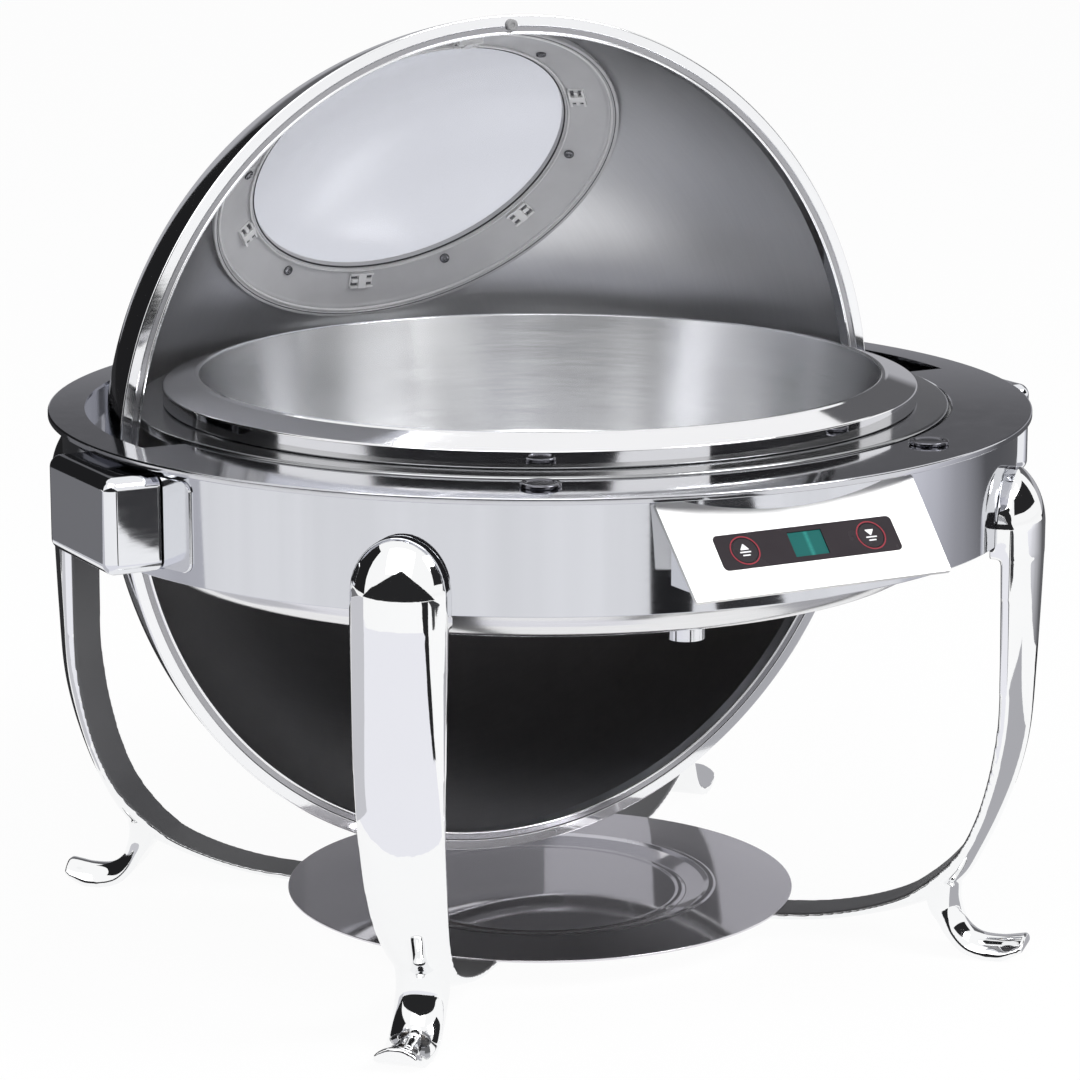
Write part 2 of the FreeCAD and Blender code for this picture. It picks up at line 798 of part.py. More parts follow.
def make_window():
    glass = revolved("window_glass", [
        (0, glass_inner), (glass_radius, leg_of(glass_inner, glass_radius), -glass_inner),
        (glass_radius, leg_of(s.lid_radius, glass_radius)), (0, s.lid_radius, s.lid_radius)])
    node(place(glass, z=s.pivot_height, turn=window_turn()), "window_glass")
    seal = revolved("window_seal", [
        (glass_radius, leg_of(glass_inner, glass_radius)),
        (s.window_hole, leg_of(glass_inner, s.window_hole), -glass_inner),
        (s.window_hole, leg_of(s.lid_radius, s.window_hole)),
        (glass_radius, leg_of(s.lid_radius, glass_radius), s.lid_radius)])
    node(place(seal, z=s.pivot_height, turn=window_turn()), "window_seal")
    ring = revolved("window_frame_ring", [
        (s.frame_bore, leg_of(frame_inner, s.frame_bore)),
        (s.frame_radius, leg_of(frame_inner, s.frame_radius), -frame_inner),
        (s.frame_radius, leg_of(lid_inner, s.frame_radius)),
        (s.window_hole, leg_of(lid_inner, s.window_hole), lid_inner),
        (s.window_hole, leg_of(glass_inner, s.window_hole)),
        (s.frame_bore, leg_of(glass_inner, s.frame_bore), glass_inner)])
    place(ring, z=s.pivot_height, turn=window_turn())
    holes = [rod(f"frame_screw_hole_{number}", s.window_screw_radius, s.lid_radius,
                 z=s.pivot_height, turn=turn) for number, turn in fixing_places(0)]
    node(cut("window_frame", ring, holes), "window_frame")

    screws = []
    seat = frame_inner - s.round_seat_gap
    head = seat - s.window_screw_head_height
    for number, turn in fixing_places(0):
        screw = revolved(f"window_screw_{number}", [
            (0, head), (s.window_screw_head, head), (s.window_screw_head, seat),
            (s.window_screw_radius, seat), (s.window_screw_radius, s.lid_radius),
            (0, s.lid_radius)])
        screws.append(place(screw, z=s.pivot_height, turn=turn))
    node(grouped("window_screws", screws), "window_screws")

    clips = []
    top = seat - s.clip_height
    half = s.clip_width / 2
    for number, turn in fixing_places(FULL_TURN / float(s.window_fixings) / 2):
        clip = padded(f"window_clip_{number}", "XZ_Plane", [[
            (-half, seat - s.clip_sheet), (-s.clip_sheet, seat - s.clip_sheet),
            (-s.clip_sheet, top), (s.clip_sheet, top),
            (s.clip_sheet, seat - s.clip_sheet), (half, seat - s.clip_sheet),
            (half, seat), (-half, seat)]], s.clip_length)
        clips.append(place(clip, z=s.pivot_height, turn=turn))
    node(grouped("window_clips", clips), "window_clips")


def make_ear(side, sign, bore):
    """Flat arm from the hinge to the lid shell, with a foot that follows the shell."""
    name = "lid_ear_" + side
    low = s.ear_face if sign > 0 else -ear_outer
    foot_low = ear_outer - s.ear_foot_depth if sign > 0 else -ear_outer
    half = s.ear_height / 2
    blank = joined(name + "_blank", [
        cross_rod(name + "_hub", s.ear_hub_radius, low, low + s.ear_sheet),
        plain_box(name + "_arm", (low, 0, s.pivot_height - half),
                  (low + s.ear_sheet, s.ear_reach, s.pivot_height + half)),
        plain_box(name + "_foot", (foot_low, s.ear_foot_start, s.pivot_height - half),
                  (foot_low + s.ear_foot_depth, s.ear_reach, s.pivot_height + half))])
    tools = [ball(name + "_lid_space", s.lid_radius),
             cross_rod(name + "_bore", bore, low - s.ear_sheet, low + 2 * s.ear_sheet)]
    for rivet, rivet_sign, height in rivet_places():
        if rivet_sign == sign:
            tools.append(cross_rod(f"{name}_hole_{rivet}", s.rivet_radius, low - BEYOND,
                                   low + BEYOND, s.rivet_row, height))
    if sign > 0:
        tools += shaft_screw_rods(name + "_screw_hole", low, ear_outer)
    node(cut(name, blank, tools), name)


def make_ear_rivets():
    rivets = []
    for name, sign, height in rivet_places():
        inner = leg_of(lid_inner, s.rivet_row) - 2 * s.rivet_head_height
        start = inner if sign > 0 else -ear_outer
        end = ear_outer if sign > 0 else -inner
        outer_start = ear_outer if sign > 0 else -(ear_outer + s.rivet_head_height)
        inner_start = inner if sign > 0 else -(inner + 3 * s.rivet_head_height)
        head = shared("rivet_inner_head_" + name, [
            cross_rod("rivet_inner_blank_" + name, s.rivet_head_radius, inner_start,
                      inner_start + 3 * s.rivet_head_height, s.rivet_row, height),
            ball("rivet_lid_inside_" + name, lid_inner)])
        rivets.append(joined("rivet_" + name, [
            cross_rod("rivet_shank_" + name, s.rivet_radius, start, end, s.rivet_row, height),
            cross_rod("rivet_outer_head_" + name, s.rivet_head_radius, outer_start,
                      outer_start + s.rivet_head_height, s.rivet_row, height),
            head]))
    node(grouped("ear_rivets", rivets), "ear_rivets")


def make_left_hinge():
    bush_outer = s.pin_radius + s.running_gap + s.bush_wall
    make_ear("left", -1, bush_outer)
    sleeve = joined("bush_left_blank", [
        cross_rod("bush_left_sleeve", bush_outer, -bush_end, -(s.ear_face - s.bush_stand_in)),
        cross_rod("bush_left_flange", bush_outer + s.bush_flange, -bush_end, -ear_outer)])
    bore = cross_rod("bush_left_bore", s.pin_radius + s.running_gap, -(bush_end + BEYOND),
                     -(s.ear_face - BEYOND))
    node(cut("bush_left", sleeve, [bore]), "bush_left")
    head_end = s.pin_inner_end + s.pin_head_height
    node(joined("pivot_pin_left", [
        cross_rod("pin_shaft", s.pin_radius, -s.bracket_outer, -s.pin_inner_end),
        cross_rod("pin_head", s.pin_head_radius, -head_end, -s.pin_inner_end),
        cross_rod("pin_collar", s.pin_head_radius, -(skirt_inner - s.axial_gap),
                  -(bush_end + s.axial_gap))]), "pivot_pin_left")
    block = plain_box("bracket_block", (-s.bracket_outer, -s.bracket_width / 2,
                                        s.pivot_height - s.bracket_height / 2),
                      (-saddle_radius, s.bracket_width / 2, s.pivot_height + s.bracket_height / 2))
    hole = cross_rod("bracket_hole", s.pin_radius, -(s.bracket_outer + BEYOND), -skirt_inner)
    node(cut("pin_bracket_left", block, [hole]), "pin_bracket_left")


def shaft_screw_rods(name, start, end):
    """The two shaft screws' cylinders between two places along X."""
    return [cross_rod(f"{name}_{letter}", s.shaft_screw_radius, start, end,
                      sign * s.shaft_screw_circle, s.pivot_height)
            for letter, sign in (("front", -1), ("back", 1))]


def make_right_drive():
    make_ear("right", 1, s.shaft_radius)
    flange_end = ear_outer + s.shaft_flange_height
    shaft = joined("drive_shaft_blank", [
        cross_rod("drive_shaft_rod", s.shaft_radius, s.ear_face, s.shaft_outer_end),
        cross_rod("drive_shaft_flange", s.shaft_flange_radius, ear_outer, flange_end)])
    node(cut("drive_shaft", shaft, shaft_screw_rods("shaft_hole", ear_outer, flange_end)), "drive_shaft")
    screws = []
    for letter, sign in (("front", -1), ("back", 1)):
        y = sign * s.shaft_screw_circle
        screws.append(joined("shaft_screw_" + letter, [
            cross_rod("shaft_screw_shank_" + letter, s.shaft_screw_radius, s.ear_face,
                      flange_end, y),
            cross_rod("shaft_screw_head_" + letter, s.shaft_screw_head,
                      s.ear_face - s.shaft_screw_head_height, s.ear_face, y)]))
    node(grouped("shaft_screws", screws), "shaft_screws")

    bush_outer = shaft_bore + s.drive_bush_wall
    bush_start = skirt_inner - s.axial_gap - s.drive_bush_flange_height
    bush = joined("bush_right_blank", [
        cross_rod("bush_right_sleeve", bush_outer, bush_start, saddle_radius),
        cross_rod("bush_right_flange", bush_outer + s.drive_bush_flange, bush_start,
                  skirt_inner - s.axial_gap)])
    node(cut("bush_right", bush, [cross_rod("bush_right_bore", shaft_bore, bush_start - BEYOND,
                                            saddle_radius + BEYOND)]), "bush_right")
    half = s.gearbox_height / 2
    case = rounded_box("gearbox_case", (saddle_radius, -s.gearbox_front, s.pivot_height - half),
                       (s.gearbox_outer, s.gearbox_back, s.pivot_height + half), s.gearbox_round)
    bore = cross_rod("gearbox_bore", shaft_bore, saddle_radius - BEYOND,
                     s.shaft_outer_end + s.axial_gap)
    node(cut("gearbox", case, [bore]), "gearbox")
    motor_end = s.gearbox_back + s.motor_length
    node(joined("motor", [
        rod("motor_can", s.motor_radius, s.motor_length, s.motor_reach, s.gearbox_back,
            s.pivot_height, ALONG_Y),
        rod("motor_cap", s.motor_cap_radius, s.motor_cap_length, s.motor_reach, motor_end,
            s.pivot_height, ALONG_Y)]), "motor")


def make_saddle(side, sign, back, hole):
    """Curved plate on the skirt that carries a side housing."""
    name = side + "_saddle"
    strip = revolved(name + "_strip", ring_outline(saddle_inner, saddle_radius, s.saddle_bottom,
                                                   s.saddle_top))
    reach = s.skirt_radius - BEYOND if sign > 0 else -(s.skirt_radius + BEYOND)
    shape = rounded_box(name + "_shape", (reach, -s.saddle_front, s.saddle_bottom),
                        (reach + 2 * BEYOND, back + s.saddle_behind, s.saddle_top), s.saddle_round)
    start = s.skirt_radius - BEYOND if sign > 0 else -(s.skirt_radius + BEYOND)
    bore = cross_rod(name + "_bore", hole, start, start + 2 * BEYOND)
    node(cut(name, shared(name + "_blank", [strip, shape]), [bore]), name)


def housing_shell(side, sign, front, back):
    """Rounded block with a thin wall, open towards the skirt."""
    wall = s.housing_wall
    inside = s.skirt_radius - BEYOND
    low = inside if sign > 0 else -s.housing_outer
    high = s.housing_outer if sign > 0 else -inside
    outer = rounded_box(side + "_housing_outer", (low, -front, s.housing_bottom),
                        (high, back, s.housing_top), s.housing_round)
    low = inside - wall if sign > 0 else -(s.housing_outer - wall)
    high = s.housing_outer - wall if sign > 0 else -(inside - wall)
    inner = rounded_box(side + "_housing_inner", (low, -(front - wall), s.housing_bottom + wall),
                        (high, back - wall, s.housing_top - wall), s.housing_round - wall)
    skirt_space = rod(side + "_housing_seat", saddle_radius + s.round_seat_gap, s.plate_height)
    return outer, [inner, skirt_space]


def make_side_housings():
    make_saddle("left", -1, s.left_back, s.pin_radius)
    make_saddle("right", 1, s.right_back, shaft_bore + s.drive_bush_wall)
    outer, tools = housing_shell("left", -1, s.left_front, s.left_back)
    node(cut("left_hinge_cover", outer, tools), "left_hinge_cover")
    outer, tools = housing_shell("right", 1, s.right_front, s.right_back)
    wall_inside = s.right_back - s.housing_wall
    tools.append(rod("inlet_hole", s.inlet_radius, BEYOND, s.inlet_reach, wall_inside - BEYOND / 2,
                     s.inlet_height, ALONG_Y))
    node(cut("right_drive_cover", outer, tools), "right_drive_cover")
    socket = revolved("power_inlet", [
        (0, -s.inlet_length), (s.inlet_radius, -s.inlet_length), (s.inlet_radius, 0),
        (s.inlet_flange_radius, 0), (s.inlet_flange_radius, s.inlet_flange_height),
        (s.inlet_bore, s.inlet_flange_height),
        (s.inlet_bore, s.inlet_flange_height - s.inlet_bore_depth),
        (0, s.inlet_flange_height - s.inlet_bore_depth)])
    node(place(socket, s.inlet_reach, s.right_back, s.inlet_height, ALONG_Y), "power_inlet")


def on_panel(body):
    """Puts what was drawn upright, facing -Y, onto the sloping panel."""
    return place(body, 0, -s.panel_reach, s.panel_bottom, Rotation(Vector(1, 0, 0), -float(s.panel_tilt)))


def panel_y(height):
    """Y of the panel plate's back face at a height."""
    return -((panel_k - s.panel_sheet - sine(s.panel_tilt) * height) / cosine(s.panel_tilt))


def make_control_box():
    inside = -(s.skirt_radius - BEYOND / 2)
    wedge = padded("box_wedge", "YZ_Plane", [[
        (panel_y(s.box_floor), s.box_floor), (inside, s.box_floor), (inside, s.box_top),
        (panel_y(s.box_top), s.box_top)]], 2 * s.box_half)
    hollow_half = s.box_half - s.box_wall
    hollow = plain_box("box_hollow", (-hollow_half, -(s.panel_reach + BEYOND), s.box_floor + s.box_wall),
                       (hollow_half, 0, s.plate_height))
    node(cut("control_box", wedge, [hollow, rod("box_skirt_space", s.skirt_radius, s.plate_height)]),
         "control_box")

    half = s.display_width / 2 + s.display_gap
    opening = round_rectangle(-half, half, s.display_bottom - s.display_gap,
                              s.display_bottom + s.display_height + s.display_gap, s.display_round)
    plate = padded("panel_plate", "XZ_Plane", [[
        (-s.panel_bottom_half, 0), (s.panel_bottom_half, 0), (s.panel_top_half, s.panel_length),
        (-s.panel_top_half, s.panel_length)], opening], s.panel_sheet, start=0)
    node(cut("control_panel", on_panel(plate), [rod("panel_skirt_space", s.skirt_radius, s.plate_height)]),
         "control_panel")


def make_display():
    half = s.display_width / 2
    screen_half = s.screen_width / 2
    screen_low = display_middle - s.screen_height / 2
    screen_high = display_middle + s.screen_height / 2
    gap = s.display_gap
    outline = round_rectangle(-half, half, s.display_bottom, s.display_bottom + s.display_height,
                              s.display_round)
    screen_hole = [(-screen_half - gap, screen_low - gap), (screen_half + gap, screen_low - gap),
                   (screen_half + gap, screen_high + gap), (-screen_half - gap, screen_high + gap)]
    hole = s.button_radius + s.button_gap
    window = padded("display_window", "XZ_Plane", [outline, screen_hole],
                    display_back + s.display_proud, start=-s.display_proud,
                    circles=[(-s.button_reach, display_middle, hole),
                             (s.button_reach, display_middle, hole)])
    node(on_panel(window), "display_window")
    screen = padded("lcd_screen", "XZ_Plane", [[
        (-screen_half, screen_low), (screen_half, screen_low), (screen_half, screen_high),
        (-screen_half, screen_high)]], s.board_depth - s.screen_sunk, start=s.screen_sunk)
    node(on_panel(screen), "lcd_screen")
    board_half = s.board_width / 2
    board = padded("control_board", "XZ_Plane", [[
        (-board_half, display_middle - s.board_height / 2), (board_half, display_middle - s.board_height / 2),
        (board_half, display_middle + s.board_height / 2),
        (-board_half, display_middle + s.board_height / 2)]], s.board_sheet, start=s.board_depth)
    node(on_panel(board), "control_board")

    rings = []
    switches = []
    switch_top = s.board_depth - s.switch_height
    stem_end = switch_top - s.button_travel - s.display_gap
    for name, sign in (("button_open", -1), ("button_close", 1)):
        x = sign * s.button_reach
        button = revolved(name, [
            (0, -stem_end), (s.button_stem_radius, -stem_end), (s.button_stem_radius, -display_back),
            (s.button_radius, -display_back), (s.button_radius, s.display_proud),
            (0, s.display_proud)])
        front = Rotation(Vector(1, 0, 0), 90 - float(s.panel_tilt))
        rise = display_middle
        centre = (x, -s.panel_reach + rise * sine(s.panel_tilt), s.panel_bottom + rise * cosine(s.panel_tilt))
        node(place(button, *centre, front), name)
        ring = revolved(name + "_ring", ring_outline(s.ring_bore, s.ring_radius, s.display_proud,
                                                     s.display_proud + s.ring_height))
        rings.append(place(ring, *centre, front))
        half_side = s.switch_side / 2
        switch = padded(name + "_switch", "XZ_Plane", [[
            (x - half_side, display_middle - half_side), (x + half_side, display_middle - half_side),
            (x + half_side, display_middle + half_side), (x - half_side, display_middle + half_side)]],
            s.switch_height, start=switch_top)
        switches.append(on_panel(switch))
    node(grouped("button_rings", rings), "button_rings")
    node(grouped("key_switches", switches), "key_switches")


# The leg's side view as drawn against the body that it was measured on. A station is the flat
# inner face's point, the bowed outer face's point, the width there and the flank's thickness.
# Points are (distance from the ring's axis, height).
DRAWN_SKIRT = 243.0
DRAWN_TRAY = 132.0
DRAWN_TOP = 216.0
DRAWN_KNEE = 60.0
DRAWN_SEAT = 10.8
LEG_STATIONS = [
    ((244.5, 216), (262, 216), 1.00, 1.0),
    ((245, 186), (261, 186), 0.98, 1.0),
    ((245.5, 152), (259.4, 150), 0.95, 1.0),
    ((245, 126), (257.4, 120), 0.92, 1.0),
    ((242, 104), (252.6, 97), 0.89, 0.95),
    ((236.8, 82), (245, 75), 0.85, 0.9),
    ((229, 62.5), (236.5, 56), 0.78, 0.85),
    ((219.7, 49), (228, 41), 0.70, 0.8),
    ((209.5, 39), (216, 30), 0.62, 0.75),
    ((197, 30), (201, 22.8), 0.57, 0.7),
    ((180, 23), (182.2, 16.8), 0.553, 0.65),
    ((160, 17.8), (161.2, 12.2), 0.553, 0.65),
]
FOOT_STATIONS = [
    ((208.5, 33), (225.5, 42), 0.56, 0.8),
    ((210.5, 24.5), (224.4, 32), 0.56, 0.8),
    ((215, 18), (225, 25.5), 0.555, 0.75),
    ((220.5, 9.5), (228.2, 16.8), 0.553, 0.7),
    ((229.5, 2), (235, 11.2), 0.55, 0.65),
    ((245, -0.6), (245.5, 10.4), 0.53, 0.6),
    ((253, 2.2), (253.6, 11.6), 0.52, 0.55),
    ((258.6, 5.4), (259.2, 12.6), 0.46, 0.5),
]


def leg_point(point):
    """Moves a drawn point of the leg's side view to the body's and tray's own sizes."""
    distance, height = point
    inner = DRAWN_TRAY + float(s.bar_overhang)
    tray_edge = float(s.tray_radius + s.bar_overhang)
    share = (distance - inner) / (DRAWN_SKIRT - inner)
    reach = tray_edge + share * (float(s.skirt_radius) - tray_edge)
    if height > DRAWN_KNEE:
        share_up = (height - DRAWN_KNEE) / (DRAWN_TOP - DRAWN_KNEE)
        height = DRAWN_KNEE + share_up * (float(s.skirt_bottom) - DRAWN_KNEE)
    inward = max(0.0, 1 - share)
    return reach, height + inward * inward * (float(bar_top) - DRAWN_SEAT)


def d_section(inner, outer, width, edge):
    """Flat back, two flanks and a bowed front, across the leg at one station."""
    back = Vector(0, -inner[0], inner[1])
    front = Vector(0, -outer[0], outer[1])
    side = Vector(width / 2, 0, 0)
    flank = (front - back).normalize() * edge
    corners = [back - side, back + side, back + side + flank, back - side + flank]
    return Part.Wire([
        Part.makeLine(corners[0], corners[1]), Part.makeLine(corners[1], corners[2]),
        Part.Arc(corners[2], front, corners[3]).toShape(), Part.makeLine(corners[3], corners[0])])


def lofted(stations):
    return Part.makeLoft([d_section(*station) for station in stations], True, False)


def leg_stations(drawn):
    width, edge = float(s.leg_width), float(s.leg_edge)
    return [(leg_point(inner), leg_point(outer), width * wide, edge * thick)
            for inner, outer, wide, thick in drawn]


def bar_stations():
    """The bar under the tray, from outside the tray's edge to the well's floor."""
    thick = float(s.bar_thickness)
    edge = 0.65 * float(s.leg_edge)
    rim_under = s.tray_top - s.tray_sheet
    bend_height = (2 * rim_under + 3 * bar_top) / 5 + s.bar_bend_rise
    places = [
        (s.tray_radius + s.bar_overhang, rim_under + s.bar_overhang_rise),
        (s.tray_radius - s.bar_ease, rim_under - s.bar_rim_gap),
        (s.well_radius + s.bar_bend_outside, bend_height),
        (s.well_floor_radius - s.bar_bend_inside, bar_top),
        (s.well_floor_radius - s.bar_seat_length, bar_top)]
    return [((float(reach), float(top)), (float(reach), float(top) - thick), float(s.bar_width), edge)
            for reach, top in places]


def leg_arch():
    """Upright part on the skirt, closed by a round arch, with its back against the skirt."""
    low = float(s.skirt_bottom)
    start = float(s.leg_arch_start)
    front = float(s.leg_front_radius)
    width, edge = float(s.leg_width), float(s.leg_edge)
    inner = float(s.skirt_radius) - 4
    back_face = float(s.skirt_radius) + 1.5
    thick = back_face - inner + edge
    upright = Part.makeLoft([d_section((inner, level), (front, level), width, thick)
                             for level in (low, start)], True, True)
    half = Part.Wire([
        Part.makeLine(Vector(0, -inner, start), Vector(width / 2, -inner, start)),
        Part.makeLine(Vector(width / 2, -inner, start), Vector(width / 2, -(inner + thick), start)),
        half_bow(width, inner + thick, front, start),
        Part.makeLine(Vector(0, -front, start), Vector(0, -inner, start))])
    dome = Part.Face(half).revolve(Vector(0, 0, start), Vector(0, -1, 0), 180)
    stretch = Matrix()
    stretch.move(Vector(0, 0, -start))
    stretch.scale(1, 1, float(s.leg_arch_height) / (width / 2))
    stretch.move(Vector(0, 0, start))
    return [upright, dome.transformGeometry(stretch)]


def half_bow(width, flank, front, level):
    """Right half of the bowed front, from the flank to the middle."""
    rise = front - flank
    reach = (width * width / 4 + rise * rise) / (2 * rise)
    turn = math.asin(width / 2 / reach) / 2
    middle = Vector(reach * math.sin(turn), reach - front - reach * math.cos(turn), level)
    return Part.Arc(Vector(width / 2, -flank, level), middle, Vector(0, -front, level)).toShape()


def tray_space():
    """Room for the tray, from its underside up."""
    seat, under = float(bar_top), float(s.tray_top) - float(s.tray_sheet)
    edge = float(s.tray_radius) + float(s.tray_edge_gap)
    outline = [(0, seat), (float(s.well_floor_radius), seat), (float(s.well_radius), under),
               (edge, under), (edge, float(s.skirt_bottom)), (0, float(s.skirt_bottom))]
    points = [Vector(reach, 0, level) for reach, level in outline]
    return Part.Face(Part.makePolygon(points + points[:1])).revolve(
        Vector(), Vector(0, 0, 1), FULL_TURN)


def make_leg(name, azimuth):
    bars = bar_stations()
    stations = leg_stations(LEG_STATIONS)
    solid = lofted(stations + bars)
    inner_end = float(s.bar_inner_end)
    last = bars[-1]
    straight = [last, ((inner_end, last[0][1]), (inner_end, last[1][1]), last[2], last[3])]
    pieces = leg_arch() + [lofted(leg_stations(FOOT_STATIONS)),
                           Part.makeLoft([d_section(*station) for station in straight], True, True)]
    solid = solid.fuse(pieces)
    high = float(s.plate_height)
    floor = Part.makeBox(2 * high, 2 * high, high, Vector(-high, -2 * high, -high))
    skirt_space = Part.makeCylinder(float(s.skirt_radius), high, Vector(0, 0, float(s.skirt_bottom)))
    tools = [floor, skirt_space]
    for bolt, _, height in bolt_places():
        if bolt.startswith(name):
            tools.append(Part.makeCylinder(
                float(s.leg_bolt_radius), float(s.leg_bolt_length),
                Vector(0, -float(skirt_inner), float(height)), Vector(0, -1, 0)))
    tools.append(Part.makeCylinder(
        float(s.hub_screw_radius), float(s.hub_screw_bite),
        Vector(0, -float(s.hub_screw_circle), float(bar_bottom))))
    tools.append(tray_space())
    leg = doc.addObject("Part::Feature", name)
    leg.Shape = solid.cut(tools).removeSplitter()
    leg.Placement = Placement(Vector(), Rotation(Vector(0, 0, 1), float(azimuth)))
    bind(leg, "Placement.Rotation.Angle", azimuth)
    node(leg, name)


def make_legs():
    for name, azimuth in LEG_AZIMUTHS.items():
        make_leg(name, azimuth)
    bolts = []
    seat = skirt_inner - s.round_seat_gap
    head = seat - s.leg_bolt_head_height
    for name, azimuth, height in bolt_places():
        bolt = revolved("bolt_" + name, [
            (0, head), (s.leg_bolt_head, head), (s.leg_bolt_head, seat),
            (s.leg_bolt_radius, seat), (s.leg_bolt_radius, skirt_inner + s.leg_bolt_length),
            (0, skirt_inner + s.leg_bolt_length)])
        bolts.append(place(bolt, z=height, turn=facing(azimuth)))
    node(grouped("leg_bolts", bolts), "leg_bolts")


def make_tray():
    under = s.tray_top - s.tray_sheet
    nut_hole = bar_top - s.tray_sheet / 3
    node(revolved("fuel_tray", [
        (s.tray_screw_radius, bar_bottom), (s.tray_nut_radius, bar_bottom),
        (s.tray_nut_radius, bar_top), (s.well_floor_radius, bar_top), (s.well_radius, under),
        (s.tray_radius, under), (s.tray_radius, s.tray_top), (s.well_radius, s.tray_top),
        (s.well_floor_radius, s.well_floor_top), (0, s.well_floor_top), (0, nut_hole),
        (s.tray_screw_radius, nut_hole)]), "fuel_tray")
    disc = revolved("hub_disc", ring_outline(s.tray_screw_radius + s.screw_hole_gap, s.hub_radius,
                                             hub_bottom, bar_bottom))
    holes = []
    screws = []
    head = hub_bottom - s.hub_screw_head_height
    for name, azimuth in LEG_AZIMUTHS.items():
        x, y = at_azimuth(s.hub_screw_circle, azimuth)
        holes.append(rod("hub_hole_" + name, s.hub_screw_radius + s.screw_hole_gap, BEYOND, x, y,
                         hub_bottom - BEYOND / 2))
        top = bar_bottom + s.hub_screw_bite
        screw = revolved("hub_screw_" + name, [
            (0, head), (s.hub_screw_head, head), (s.hub_screw_head, hub_bottom),
            (s.hub_screw_radius, hub_bottom), (s.hub_screw_radius, top), (0, top)])
        screws.append(place(screw, x, y))
    node(cut("tray_hub", disc, holes), "tray_hub")
    node(grouped("hub_screws", screws), "hub_screws")
    node(revolved("tray_screw", [
        (0, head), (s.tray_screw_head, head), (s.tray_screw_head, hub_bottom),
        (s.tray_screw_radius, hub_bottom), (s.tray_screw_radius, nut_hole), (0, nut_hole)]),
        "tray_screw")


make_skirt()
make_top_plate()
make_pan_carrier()
make_water_pan()
make_rest_ring()
make_food_pan()
make_lid_rest_pads()
make_lid()
make_window()
make_left_hinge()
make_right_drive()
make_ear_rivets()
make_side_housings()
make_control_box()
make_display()
make_legs()
make_tray()
doc.recompute()

for obj in doc.Objects:
    bad = [state for state in obj.State if state in ("Invalid", "Error")]
    if bad:
        raise RuntimeError(f"{obj.Label} failed: {bad}")
for obj in nodes:
    shape = obj.Shape
    if shape.isNull() or not shape.isValid() or not shape.Solids:
        raise RuntimeError(f"{obj.Label} has no valid solid")

os.makedirs("parts", exist_ok=True)
for obj in nodes:
    obj.Shape.exportStep(f"parts/{obj.Label}.step")
    print(f"{obj.Label}: {len(obj.Shape.Solids)} solids, {obj.Shape.Volume / 1000:.2f} cm3")
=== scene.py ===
"""Looks of the round chafing dish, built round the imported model. Lengths are in mm, unless they say m."""
import math

import bmesh
import bpy
from mathutils import Matrix, Vector


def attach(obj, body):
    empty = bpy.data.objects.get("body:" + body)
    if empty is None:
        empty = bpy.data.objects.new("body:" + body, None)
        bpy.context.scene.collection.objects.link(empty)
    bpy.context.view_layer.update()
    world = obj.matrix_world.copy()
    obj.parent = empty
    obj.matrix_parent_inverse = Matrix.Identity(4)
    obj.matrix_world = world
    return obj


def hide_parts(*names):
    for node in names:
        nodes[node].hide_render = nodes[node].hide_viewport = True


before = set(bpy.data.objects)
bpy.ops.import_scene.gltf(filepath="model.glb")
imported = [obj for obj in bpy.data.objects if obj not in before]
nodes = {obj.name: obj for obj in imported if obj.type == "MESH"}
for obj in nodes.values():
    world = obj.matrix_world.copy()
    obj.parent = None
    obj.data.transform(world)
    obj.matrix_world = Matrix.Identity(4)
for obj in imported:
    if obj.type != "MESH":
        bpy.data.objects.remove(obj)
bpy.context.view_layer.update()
MM = 0.001
BUMP_DEPTH = 0.0002         # m, for all fine grain
PIVOT = 246.0               # height of the lid's axis, and centre of its sphere
WINDOW_TILT = 42.5          # degrees
PLATE_TOP = 273.0
PLATE_UNDER = 271.5
SKIRT_LOW = 216.0
SKIRT_OUT = 243.0           # radius
LID_OUT, LID_IN = 222.0, 220.8
RIM_PLANE = 31.7            # from the lid's axis to the dome's edge
WINDOW_HOLE = 94.0          # radius


